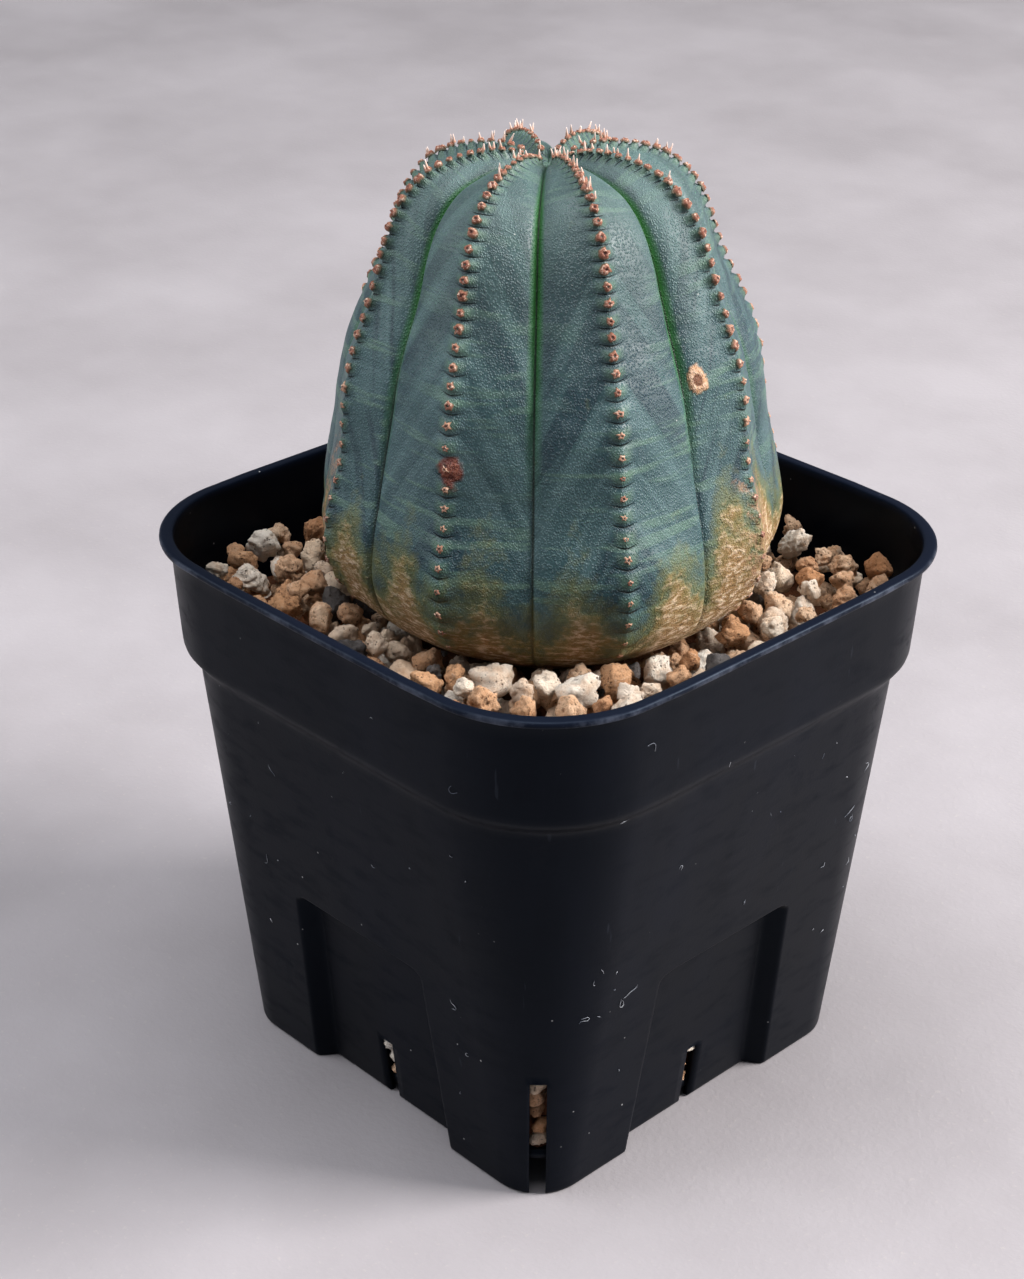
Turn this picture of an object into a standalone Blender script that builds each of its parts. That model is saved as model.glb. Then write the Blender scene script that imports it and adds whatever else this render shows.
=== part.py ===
"""Potted ribbed euphorbia: square nursery pot, gravel bed, loose grains, stem.

Metres, Z up.  The origin is the middle of the pot's footprint on the ground.
The pot's sides face along X and Y.
"""

import math

import bmesh
import bpy
import numpy as np

# ---------------------------------------------------------------- pot
RIM_HALF = 0.0450           # outer half width of the flat lip
RIM_RADIUS = 0.0197         # corner radius of the lip in plan
RIM_HEIGHT = 0.0846         # top of the lip above the ground
LIP_WIDTH = 0.0017          # flat top of the lip, outer to inner edge
LIP_THICK = 0.0009
COLLAR_TOP_HALF = 0.0439    # collar band just under the lip
COLLAR_LOW_HALF = 0.0431    # collar band at its lower edge
COLLAR_RADIUS = 0.0193
COLLAR_LOW_Z = 0.0680       # lower edge of the collar band
STEP_DROP = 0.0028          # height of the slanted step under the collar
BODY_TOP_HALF = 0.0415      # tapered body just under the step
BODY_TOP_RADIUS = 0.0193
FOOT_HALF = 0.0334          # tapered body at the ground
FOOT_RADIUS = 0.0078
FOOT_EDGE = 0.0004          # chamfer round the foot edge
WALL = 0.0011

RECESS_TOP_Z = 0.0328       # head of the recessed panel in every side
RECESS_HALF_TOP = 0.0135    # half width of the recess at its head
RECESS_HALF_LOW = 0.0152    # half width of the recess at the ground
RECESS_DEPTH = 0.0026
RECESS_FLANK = 0.0016       # how far the recess flanks slant inwards
RECESS_HEM = 0.0008         # gap between the ground and the panel's hem

FLOOR_TOP = 0.0032          # upper face of the floor plate
FLOOR_THICK = 0.0012
PAD_START = 0.0170          # corner pads begin this far from the middle
PAD_TOP = 0.0074            # upper face of the raised corner pads
PAD_INSET = 0.0002          # extra wall round the pocket under a pad

CORNER_SLIT_WIDTH = 0.0024
CORNER_SLIT_TOP = 0.0214
CORNER_SLIT_REACH = 0.0100  # how far a corner slit runs in under the bed
SIDE_SLIT_WIDTH = 0.0022
SIDE_SLIT_TOP = 0.0106
SIDE_SLIT_REACH = 0.0070

ARC_STEPS = 8               # straight pieces in each rounded corner

# ---------------------------------------------------------------- stem
RIBS = 8
FURROW_ANGLE = math.radians(-48.1)  # direction of one furrow, from +X
STEM_X = -0.0016            # foot of the stem's axis at the surface
STEM_Y = 0.0020
LEAN_X = -0.058             # sideways drift of the axis per unit height
LEAN_Y = 0.036
STEM_HALF = 0.0340          # widest distance from the axis to a rib crest
STEM_WAIST_Z = 0.0850       # height of that widest place
CROWN_Z = 0.1390            # top of the rib crests
CROWN_DIP = 0.0045          # depth of the dimple in the crown
ROOT_TIP_Z = 0.0480
ROOT_HALF = 0.0050
FURROW_SHARPNESS = 1.8      # 1 gives straight flanks, more gives fuller ribs
FLANK_STEPS = 4             # grid columns between a furrow and a crest band
CREST_BAND = 0.13           # width of the crest band, part of a rib
CREST_ROWS = 27             # bumps in one rib's row
BUMP_HEIGHT = 0.0008
CROWN_FURROW = 0.34         # furrow depth over the crown, part of the crest's reach
CROWN_VALLEY = 0.0030       # how far the furrows lie below the crests there
CROWN_ARCH = 0.0006         # how far the ribs still rise past the last full ring
CROWN_SHARES = (0.72, 0.45, 0.18)  # rings over the crown, part of the last full ring

# ---------------------------------------------------------------- bed, grains
CLEARANCE = 0.0003          # gap between the bed and what it touches
BED_NECK_Z = 0.0735         # bed surface against the stem
BED_EDGE_Z = 0.0722         # bed surface against the pot
BED_CREST_Z = 0.0732        # highest ring of the bed, between those two
BED_LEVELS = 5              # rings between the floor and the collar step
GRAIN_SEED = 11
KIND_SEED = 6
GRAIN_COUNT = 52
GRAIN_TRIES = 4000          # places tried; the size allowed shrinks over them
GRAIN_SMALL = 0.0018        # half size of the smallest loose grain
GRAIN_LARGE = 0.0032        # half size of the largest loose grain
GRAIN_ROUGHNESS = 0.16      # how far a grain departs from an ellipsoid
PUMICE_SHARE = 0.34
LAVA_SHARE = 0.08

# ---------------------------------------------------------------- cutters
OVERRUN = 0.001             # how far a cutter runs past the face it opens
PANEL_BLOCK = 0.006         # thickness of the block that presses a panel in


# ---------------------------------------------------------------- helpers
def clear_scene():
    for old in list(bpy.data.objects):
        bpy.data.objects.remove(old, do_unlink=True)


def collection(name):
    made = bpy.data.collections.new(name)
    bpy.context.scene.collection.children.link(made)
    return made


def material(name, colour, roughness, metallic=0.0):
    made = bpy.data.materials.new(name)
    made.use_nodes = True
    made.diffuse_color = (*colour, 1.0)
    shader = made.node_tree.nodes["Principled BSDF"]
    shader.inputs["Base Color"].default_value = (*colour, 1.0)
    shader.inputs["Roughness"].default_value = roughness
    shader.inputs["Metallic"].default_value = metallic
    return made


def solid(name, points, faces, where, look=None):
    """One closed mesh object, its faces turned outwards."""
    mesh = bpy.data.meshes.new(name)
    mesh.from_pydata([tuple(p) for p in points], [], faces)
    tidy = bmesh.new()
    tidy.from_mesh(mesh)
    bmesh.ops.recalc_face_normals(tidy, faces=tidy.faces)
    tidy.to_mesh(mesh)
    tidy.free()
    made = bpy.data.objects.new(name, mesh)
    where.objects.link(made)
    if look is not None:
        mesh.materials.append(look)
    return made


def loft(name, rings, where, look=None, split=True):
    """Closed skin through rings of equal length, with a flat cap at each end."""
    count = len(rings[0])
    points = [p for ring in rings for p in ring]
    faces = [list(range(count))[::-1]]
    for level in range(len(rings) - 1):
        low, high = level * count, (level + 1) * count
        for i in range(count):
            j = (i + 1) % count
            if split:
                faces.append([low + i, low + j, high + j])
                faces.append([low + i, high + j, high + i])
            else:
                faces.append([low + i, low + j, high + j, high + i])
    top = (len(rings) - 1) * count
    faces.append([top + i for i in range(count)])
    return solid(name, points, faces, where, look)


def cutter(made):
    made.hide_render = True
    made.display_type = "WIRE"
    return made


def subtract(target, tool):
    step = target.modifiers.new("cut_" + tool.name, "BOOLEAN")
    step.operation = "DIFFERENCE"
    step.solver = "EXACT"
    step.object = tool


def smooth(made, degrees):
    made.data.shade_smooth()
    made.data.set_sharp_from_angle(angle=math.radians(degrees))


def turned(points, angle):
    """Points turned about Z."""
    c, s = math.cos(angle), math.sin(angle)
    return [(c * x - s * y, s * x + c * y, z) for x, y, z in points]


# ---------------------------------------------------------------- pot
def rounded_square(half, radius, z):
    """Plan outline of the pot at one height, anticlockwise."""
    ring = []
    for quarter in range(4):
        start = quarter * math.pi / 2
        cx = (half - radius) * (1 if quarter in (0, 3) else -1)
        cy = (half - radius) * (1 if quarter in (0, 1) else -1)
        for step in range(ARC_STEPS + 1):
            a = start + step * math.pi / 2 / ARC_STEPS
            ring.append((cx + radius * math.cos(a), cy + radius * math.sin(a), z))
    return ring


def body_size(z, offset=0.0):
    """Half width and corner radius of the tapered body at height z."""
    t = z / (COLLAR_LOW_Z - STEP_DROP)
    half = FOOT_HALF + (BODY_TOP_HALF - FOOT_HALF) * t
    radius = FOOT_RADIUS + (BODY_TOP_RADIUS - FOOT_RADIUS) * t
    return half - offset, radius - offset


def body_ring(z, offset=0.0):
    return rounded_square(*body_size(z, offset), z)


def outer_rings():
    half, radius = body_size(0.0, FOOT_EDGE)
    lip_z = RIM_HEIGHT - LIP_THICK
    return [
        rounded_square(half, radius, 0.0),
        body_ring(FOOT_EDGE),
        body_ring(COLLAR_LOW_Z - STEP_DROP),
        rounded_square(COLLAR_LOW_HALF, COLLAR_RADIUS, COLLAR_LOW_Z),
        rounded_square(COLLAR_TOP_HALF, COLLAR_RADIUS, lip_z),
        rounded_square(RIM_HALF, RIM_RADIUS, lip_z),
        rounded_square(RIM_HALF, RIM_RADIUS, RIM_HEIGHT - LIP_THICK / 3),
        rounded_square(RIM_HALF - LIP_THICK / 3, RIM_RADIUS, RIM_HEIGHT),
    ]


def inner_rings(floor_z, offset, top_z):
    """Inside of the wall from floor_z up, moved in by offset."""
    inner_low = COLLAR_LOW_HALF - offset
    inner_top = RIM_HALF - LIP_WIDTH - (offset - WALL)
    radius = COLLAR_RADIUS - offset
    rings = [
        body_ring(floor_z, offset),
        body_ring(COLLAR_LOW_Z - STEP_DROP, offset),
        rounded_square(inner_low, radius, COLLAR_LOW_Z),
    ]
    share = (top_z - COLLAR_LOW_Z) / (RIM_HEIGHT - COLLAR_LOW_Z)
    half = inner_low + (inner_top - inner_low) * share
    rings.append(rounded_square(half, radius, top_z))
    return rings


def recess_block(name, side, grow, where):
    """Wedge standing outside one wall, its inner face the recessed panel."""
    z_low, z_top = -OVERRUN, RECESS_TOP_Z + grow
    slope = (BODY_TOP_HALF - FOOT_HALF) / (COLLAR_LOW_Z - STEP_DROP)
    rings = []
    for z in (z_low, z_top):
        t = z / RECESS_TOP_Z
        wide = RECESS_HALF_LOW + (RECESS_HALF_TOP - RECESS_HALF_LOW) * t + grow
        face = FOOT_HALF + slope * z - RECESS_DEPTH - grow
        flank = RECESS_FLANK / RECESS_DEPTH
        out = PANEL_BLOCK + RECESS_DEPTH
        spread = wide - RECESS_FLANK
        rings.append([
            (face, -spread, z),
            (face + out, -spread - out * flank, z),
            (face + out, spread + out * flank, z),
            (face, spread, z),
        ])
    rings = [turned(ring, side * math.pi / 2) for ring in rings]
    return loft(name, rings, where)


def box_ring(x0, x1, y0, y1, z):
    return [(x0, y0, z), (x1, y0, z), (x1, y1, z), (x0, y1, z)]


def box(name, x, y, z, angle, where):
    rings = [turned(box_ring(*x, *y, level), angle) for level in z]
    return cutter(loft(name, rings, where))


def build_pot(parts, tools):
    black = material("black_plastic", (0.018, 0.020, 0.024), 0.42)
    pot = loft("pot", outer_rings(), parts, black)

    cavity = cutter(loft("pot_inside", inner_rings(FLOOR_TOP, WALL, RIM_HEIGHT + OVERRUN), tools))
    under_z = FLOOR_TOP - FLOOR_THICK
    hollow = cutter(loft(
        "pot_underside", [body_ring(-OVERRUN, WALL), body_ring(under_z, WALL)], tools))
    far = 2 * RIM_HALF
    for side in range(4):
        angle = side * math.pi / 2
        thick = cutter(recess_block(f"recess_behind_{side}", side, WALL, tools))
        subtract(cavity, thick)
        subtract(hollow, thick)
        subtract(cavity, box(f"pad_{side}", (PAD_START, far), (PAD_START, far),
                             (0.0, PAD_TOP), angle, tools))
    subtract(pot, cavity)
    subtract(pot, hollow)
    for side in range(4):
        angle = side * math.pi / 2
        subtract(pot, cutter(recess_block(f"recess_{side}", side, 0.0, tools)))
        subtract(pot, corner_hollow(side, tools))
        hem = FOOT_HALF - RECESS_DEPTH - 2 * WALL
        subtract(pot, box(f"hem_{side}", (hem, far), (-RECESS_HALF_TOP, RECESS_HALF_TOP),
                          (-OVERRUN, RECESS_HEM), angle, tools))
        slit = FOOT_HALF - RECESS_DEPTH - SIDE_SLIT_REACH
        half = SIDE_SLIT_WIDTH / 2
        subtract(pot, box(f"side_slit_{side}", (slit, far), (-half, half),
                          (-OVERRUN, SIDE_SLIT_TOP), angle, tools))
        reach = math.sqrt(2) * (FOOT_HALF - FOOT_RADIUS) + FOOT_RADIUS - CORNER_SLIT_REACH
        half = CORNER_SLIT_WIDTH / 2
        subtract(pot, box(f"corner_slit_{side}", (reach, far), (-half, half),
                          (-OVERRUN, CORNER_SLIT_TOP), angle + math.pi / 4, tools))
    smooth(pot, 28)
    return pot


def corner_hollow(side, tools):
    """Pocket under one raised corner pad, open to the ground."""
    start = PAD_START + WALL
    rings = []
    for z in (-OVERRUN, PAD_TOP - FLOOR_THICK):
        half, radius = body_size(z, WALL + PAD_INSET)
        ring = [(start, start, z), (half, start, z)]
        centre = half - radius
        for step in range(ARC_STEPS + 1):
            a = step * math.pi / 2 / ARC_STEPS
            ring.append((centre + radius * math.cos(a), centre + radius * math.sin(a), z))
        ring.append((start, half, z))
        rings.append(turned(ring, side * math.pi / 2))
    return cutter(loft(f"corner_hollow_{side}", rings, tools))


# ---------------------------------------------------------------- stem
def stem_profile():
    """Crest distance from the axis, height and furrow depth share, foot to crown."""
    rise = CROWN_Z - STEM_WAIST_Z
    under = [
        (0.28 * ROOT_HALF, ROOT_TIP_Z, 0.0),
        (0.75 * ROOT_HALF, ROOT_TIP_Z + 0.0035, 0.0),
        (ROOT_HALF, ROOT_TIP_Z + 0.012, 0.0),
        (1.7 * ROOT_HALF, ROOT_TIP_Z + 0.019, 0.0),
        (0.48 * STEM_HALF, STEM_WAIST_Z - 0.0125, 0.0),
        (0.74 * STEM_HALF, STEM_WAIST_Z - 0.0100, 0.03),
    ]
    visible = [
        (0.880, -0.150, 0.060), (0.945, -0.110, 0.075), (0.985, -0.060, 0.090),
        (1.000, 0.000, 0.100), (0.990, 0.090, 0.110), (0.955, 0.210, 0.118),
        (0.900, 0.360, 0.128), (0.840, 0.510, 0.140), (0.770, 0.650, 0.155),
        (0.690, 0.770, 0.175), (0.600, 0.870, 0.200), (0.500, 0.945, 0.235),
        (0.390, 0.988, 0.280), (0.290, 1.000, 0.340),
    ]
    return under, [(r * STEM_HALF, STEM_WAIST_Z + h * rise, d) for r, h, d in visible]


def resampled(track, count):
    """Points at growing closeness along a track, wide apart at the foot."""
    track = np.array(track)
    run = np.r_[0.0, np.cumsum(np.hypot(*np.diff(track[:, :2], axis=0).T))]
    share = np.linspace(0.0, 1.0, count)
    share = share * (1.3 - 0.3 * share)
    at = share * run[-1]
    return np.stack([np.interp(at, run, track[:, k]) for k in range(3)], axis=1)


def rib_angles():
    """Column angles of one turn and each one's distance from its furrow, 0 to 1."""
    band = 1.0 - CREST_BAND
    flank = [band * (i / FLANK_STEPS) ** 1.25 for i in range(FLANK_STEPS + 1)]
    one_rib = flank + [2.0 - s for s in reversed(flank[1:])]
    angles, shares = [], []
    for rib in range(RIBS):
        for s in one_rib:
            angles.append(FURROW_ANGLE + (rib + s / 2) * 2 * math.pi / RIBS)
            shares.append(min(s, 2.0 - s))
    return angles, shares


def stem_ring(crest, z, depth, angles, shares, grow=0.0):
    """Ribbed outline about the leaning axis."""
    cx = STEM_X + LEAN_X * (z - BED_NECK_Z)
    cy = STEM_Y + LEAN_Y * (z - BED_NECK_Z)
    ring = []
    for a, s in zip(angles, shares):
        fullness = 1.0 - (1.0 - s) ** FURROW_SHARPNESS
        r = crest * (1.0 - depth * (1.0 - fullness)) + grow
        ring.append((cx + r * math.cos(a), cy + r * math.sin(a), z))
    return ring


def crown_ring(share, crest, angles, shares):
    """Rings over the crown: ribs arch in, furrows drop to the dimple."""
    cx = STEM_X + LEAN_X * (CROWN_Z - BED_NECK_Z)
    cy = STEM_Y + LEAN_Y * (CROWN_Z - BED_NECK_Z)
    ring = []
    for a, s in zip(angles, shares):
        fullness = 1.0 - (1.0 - s) ** FURROW_SHARPNESS
        r = crest * (1.0 - CROWN_FURROW * (1.0 - fullness)) * share
        arch = CROWN_Z + CROWN_ARCH - CROWN_DIP * (1.0 - share) ** 1.5
        valley = CROWN_Z - CROWN_VALLEY - (CROWN_DIP - CROWN_VALLEY) * (1.0 - share)
        z = valley + (arch - valley) * (0.25 + 0.75 * fullness) * min(1.0, 0.4 + share)
        ring.append((cx + r * math.cos(a), cy + r * math.sin(a), z))
    return ring


def build_stem(parts):
    skin = material("euphorbia_skin", (0.115, 0.190, 0.150), 0.55)
    angles, shares = rib_angles()
    under, visible = stem_profile()
    rows = resampled(visible, CREST_ROWS)
    rings = [stem_ring(r, z, d, angles, shares) for r, z, d in under]
    first_row = len(rings)
    rings += [stem_ring(r, z, d, angles, shares) for r, z, d in rows]
    crest = rows[-1][0]
    rings += [crown_ring(share, crest, angles, shares) for share in CROWN_SHARES]
    stem = loft("stem", rings, parts, skin, split=False)

    columns = len(angles)
    per_rib = columns // RIBS
    last_row = first_row + CREST_ROWS + 1
    bumps = []
    for row in range(first_row + 1, last_row):
        for rib in range(RIBS):
            bumps.append(1 + row * columns + rib * per_rib + FLANK_STEPS)
    raise_bumps(stem, bumps)
    smooth(stem, 35)
    return stem


def raise_bumps(made, face_numbers):
    """Lift the middle of every listed face into a low point."""
    work = bmesh.new()
    work.from_mesh(made.data)
    work.faces.ensure_lookup_table()
    chosen = [work.faces[i] for i in face_numbers]
    bmesh.ops.poke(work, faces=chosen, offset=BUMP_HEIGHT)
    work.to_mesh(made.data)
    work.free()


# ---------------------------------------------------------------- bed
def square_reach(angle, half, radius):
    """Distance from the middle to a rounded square's edge in one direction."""
    c, s = abs(math.cos(angle)), abs(math.sin(angle))
    straight = half / max(c, s)
    centre = half - radius
    if min(c, s) * straight <= centre:
        return straight
    along = centre * (c + s)
    return along + math.sqrt(max(along * along - 2 * centre * centre + radius * radius, 0.0))


def square_ring(half, radius, z, angles):
    ring = []
    for a in angles:
        r = square_reach(a, half, radius)
        ring.append((r * math.cos(a), r * math.sin(a), z))
    return ring


def blended(outer, inner, share, z):
    """Ring part of the way from an outer ring to an inner one."""
    return [(a[0] + (b[0] - a[0]) * share, a[1] + (b[1] - a[1]) * share, z)
            for a, b in zip(outer, inner)]


def build_bed(parts, tools):
    gravel = material("gravel_mix", (0.36, 0.22, 0.12), 0.9)
    angles, shares = rib_angles()
    gap = WALL + CLEARANCE
    low = FLOOR_TOP + CLEARANCE
    step_z = COLLAR_LOW_Z - STEP_DROP
    rings = []
    for level in range(BED_LEVELS + 1):
        z = low + (step_z - CLEARANCE - low) * level / BED_LEVELS
        rings.append(square_ring(*body_size(z, gap), z, angles))
    half, radius = COLLAR_LOW_HALF - gap, COLLAR_RADIUS - gap
    edge = square_ring(half, radius, BED_EDGE_Z, angles)
    rings.append(square_ring(half, radius, COLLAR_LOW_Z + CLEARANCE, angles))
    rings.append(edge)

    under, visible = stem_profile()
    track = np.array(under + visible)
    neck_half = float(np.interp(BED_NECK_Z, track[:, 1], track[:, 0]))
    neck_depth = float(np.interp(BED_NECK_Z, track[:, 1], track[:, 2]))
    neck = stem_ring(neck_half, BED_NECK_Z, neck_depth, angles, shares, CLEARANCE)
    neck = [(x, y, z - CLEARANCE) for x, y, z in neck]
    rings.append(blended(edge, neck, 0.35, BED_CREST_Z))
    rings.append(blended(edge, neck, 0.75, BED_CREST_Z))
    rings.append(neck)
    for r, z, d in reversed(under):
        if z < BED_NECK_Z - CLEARANCE:
            ring = stem_ring(r, z, d, angles, shares, 1.6 * CLEARANCE)
            rings.append([(x, y, level - CLEARANCE) for x, y, level in ring])
    bed = loft("gravel_bed", rings, parts, gravel)
    for side in range(4):
        subtract(bed, cutter(recess_block(f"bed_recess_{side}", side, gap, tools)))
        start = PAD_START - CLEARANCE
        subtract(bed, box(f"bed_pad_{side}", (start, 2 * RIM_HALF), (start, 2 * RIM_HALF),
                          (0.0, PAD_TOP + CLEARANCE), side * math.pi / 2, tools))
    return bed


# ---------------------------------------------------------------- grains
def grain_mesh_points(sizes, rng):
    """Rough pebble: an icosphere pushed in and out, then stretched."""
    work = bmesh.new()
    bmesh.ops.create_icosphere(work, subdivisions=2, radius=1.0)
    points = np.array([v.co[:] for v in work.verts])
    faces = [[v.index for v in f.verts] for f in work.faces]
    work.free()
    waves = rng.normal(size=(5, 3))
    phase = rng.uniform(0.0, 2 * math.pi, size=5)
    bulge = np.sin(points @ waves.T * 1.6 + phase).sum(axis=1) / 5
    points = points * (1.0 + GRAIN_ROUGHNESS * bulge)[:, None]
    reach = np.abs(points).max(axis=0)
    return points / reach * sizes, faces


def room_for(x, y, reach, placed, stem_reach):
    """True if a grain of that reach fits between stem, wall and neighbours."""
    away = math.hypot(x - STEM_X, y - STEM_Y)
    if away < stem_reach + reach + CLEARANCE:
        return False
    half = COLLAR_LOW_HALF - WALL - CLEARANCE - 0.0002
    wall = square_reach(math.atan2(y, x), half, COLLAR_RADIUS - WALL)
    if math.hypot(x, y) + reach * 1.12 > wall:
        return False
    return all(math.hypot(x - a, y - b) > reach + c + CLEARANCE for a, b, c in placed)


def build_grains(parts):
    looks = {
        "clay_grain": material("fired_clay", (0.43, 0.22, 0.10), 0.9),
        "pumice_grain": material("pale_pumice", (0.62, 0.53, 0.40), 0.9),
        "lava_grain": material("dark_lava", (0.09, 0.075, 0.07), 0.85),
    }
    clay_share = 1.0 - PUMICE_SHARE - LAVA_SHARE
    kinds = np.random.default_rng(KIND_SEED).choice(
        list(looks), size=GRAIN_COUNT, p=[clay_share, PUMICE_SHARE, LAVA_SHARE])
    tally = dict.fromkeys(looks, 0)
    rng = np.random.default_rng(GRAIN_SEED)
    widest = STEM_HALF + BUMP_HEIGHT
    placed = []
    tries = 0
    while len(placed) < GRAIN_COUNT and tries < GRAIN_TRIES:
        tries += 1
        left = 1.0 - tries / GRAIN_TRIES
        size = GRAIN_SMALL + (GRAIN_LARGE - GRAIN_SMALL) * rng.uniform(0.4, 1.0) * left
        x, y = rng.uniform(-RIM_HALF, RIM_HALF, size=2)
        if not room_for(x, y, size, placed, widest):
            continue
        kind = str(kinds[len(placed)])
        tally[kind] += 1
        placed.append((x, y, size))
        flat = rng.uniform(0.72, 0.95)
        sizes = np.array([1.0, rng.uniform(0.78, 1.0), flat]) * size
        points, faces = grain_mesh_points(sizes, rng)
        spin = rng.uniform(0.0, 2 * math.pi)
        points = np.array(turned(points, spin))
        points += (x, y, BED_CREST_Z + CLEARANCE - points[:, 2].min())
        solid(f"{kind}_{tally[kind]:02d}", points, faces, parts, looks[kind])


def main():
    clear_scene()
    parts = collection("potted_euphorbia")
    tools = collection("cutters")
    build_pot(parts, tools)
    build_stem(parts)
    build_bed(parts, tools)
    build_grains(parts)


main()
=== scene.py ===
import math

import bpy
import numpy as np
from mathutils import Matrix, Vector


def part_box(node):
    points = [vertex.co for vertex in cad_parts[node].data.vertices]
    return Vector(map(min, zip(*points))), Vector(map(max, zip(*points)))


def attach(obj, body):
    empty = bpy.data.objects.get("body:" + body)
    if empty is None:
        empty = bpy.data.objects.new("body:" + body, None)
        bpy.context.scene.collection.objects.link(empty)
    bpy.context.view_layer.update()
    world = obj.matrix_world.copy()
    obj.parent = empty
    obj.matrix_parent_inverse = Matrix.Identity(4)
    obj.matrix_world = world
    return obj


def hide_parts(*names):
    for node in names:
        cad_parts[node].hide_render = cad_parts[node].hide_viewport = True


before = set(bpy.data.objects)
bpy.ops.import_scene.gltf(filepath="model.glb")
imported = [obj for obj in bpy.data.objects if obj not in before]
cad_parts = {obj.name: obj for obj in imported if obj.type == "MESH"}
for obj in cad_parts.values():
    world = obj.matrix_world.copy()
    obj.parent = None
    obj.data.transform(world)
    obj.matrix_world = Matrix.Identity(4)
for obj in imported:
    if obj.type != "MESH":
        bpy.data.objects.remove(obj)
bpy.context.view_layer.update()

# ------------------------------------------------------------------ nursery pot
# One injection-moulded black polypropylene shell: flat lip, collar band, soft
# step, tapering body with a sunk panel low in every side, four corner feet,
# draining slits up every corner and every panel, and a floor plate inside.

MM = 0.001
pot_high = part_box("pot")[1]
RIM_HALF, RIM_TOP = pot_high[0], pot_high[2]
FOOT_HALF, FOOT_RADIUS = 33.4 * MM, 7.8 * MM
BODY_HALF, BODY_RADIUS, BODY_TOP = 41.5 * MM, 19.3 * MM, 65.2 * MM
WALL = 1.1 * MM
PANEL_TOP, PANEL_DEPTH = 32.8 * MM, 2.6 * MM
PANEL_HALF_LOW, PANEL_HALF_HIGH = 15.2 * MM, 13.5 * MM
PANEL_FLANK, PANEL_HEAD, PANEL_ROUND = 1.9 * MM, 1.0 * MM, 1.35
SIDE_SLIT, SIDE_SLIT_TOP = 2.2 * MM, 10.6 * MM
CORNER_SLIT, CORNER_SLIT_TOP = 2.4 * MM, 21.4 * MM
SIDE_BOW = 0.35 * MM
FOOT_EDGE, FOOT_EDGE_HEIGHT = 0.5 * MM, 0.55 * MM
PLATE_HEIGHT, PAD_LIFT, PAD_SLOPE = 3.0 * MM, 4.2 * MM, 0.9 * MM
CORNER_STEPS = 11


def eased(x):
    """Smooth step: 0 below 0, 1 above 1, cubic in between."""
    x = np.clip(x, 0.0, 1.0)
    return x * x * (3.0 - 2.0 * x)


def rounded_ramp(x, soft=0.18):
    """Straight ramp from 0 to 1 whose two ends are rounded over a share of it."""
    t = np.clip(x, -soft, 1.0 + soft)
    foot = np.clip(t + soft, 0.0, 2 * soft) ** 2 / (4 * soft)
    head = np.clip(t - 1.0 + soft, 0.0, 2 * soft) ** 2 / (4 * soft)
    return foot + np.clip(t - soft, 0.0, None) - head


def grid_quads(rows, columns, wrap_rows=False, wrap_columns=True):
    """Corner numbers of every quad of a grid, one row of four per quad."""
    r = np.arange(rows if wrap_rows else rows - 1)
    c = np.arange(columns if wrap_columns else columns - 1)
    r, c = np.meshgrid(r, c, indexing="ij")
    up, over = (r + 1) % rows, (c + 1) % columns
    quads = np.stack([r * columns + c, r * columns + over,
                      up * columns + over, up * columns + c], axis=-1)
    return quads.reshape(-1, 4)


def mesh_piece(name, points, quads, triangles=None, flat=False):
    """A mesh object at the origin from an array of points and arrays of faces."""
    mesh = bpy.data.meshes.new(name)
    quads = np.asarray(quads, dtype=np.int32)
    triangles = np.zeros((0, 3), np.int32) if triangles is None else np.asarray(triangles, np.int32)
    mesh.vertices.add(len(points))
    mesh.vertices.foreach_set("co", np.asarray(points, dtype=np.float32).ravel())
    corners = np.concatenate([quads.ravel(), triangles.ravel()])
    mesh.loops.add(len(corners))
    mesh.loops.foreach_set("vertex_index", corners)
    starts = np.concatenate([np.arange(len(quads)) * 4,
                             len(quads) * 4 + np.arange(len(triangles)) * 3])
    mesh.polygons.add(len(starts))
    mesh.polygons.foreach_set("loop_start", starts.astype(np.int32))
    mesh.polygons.foreach_set("use_smooth", np.full(len(starts), not flat))
    mesh.update(calc_edges=True)
    mesh.validate()
    made = bpy.data.objects.new(name, mesh)
    bpy.context.scene.collection.objects.link(made)
    return made


def paint(piece, label, values):
    """Stores one number per point of a piece under a label that a material can read."""
    layer = piece.data.attributes.new(label, "FLOAT", "POINT")
    layer.data.foreach_set("value", np.asarray(values, dtype=np.float32).ravel())


def side_columns():
    """Distances from a side's middle of the columns on its flat part: the slit's
    edge, even steps, then close steps where the panel's flank runs."""
    slit = SIDE_SLIT / 2
    return np.concatenate([[0.0, slit], np.linspace(slit, 11.4 * MM, 9)[1:],
                           np.linspace(11.6 * MM, 16.6 * MM, 22),
                           np.linspace(17.3 * MM, 19.5 * MM, 3)])


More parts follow.
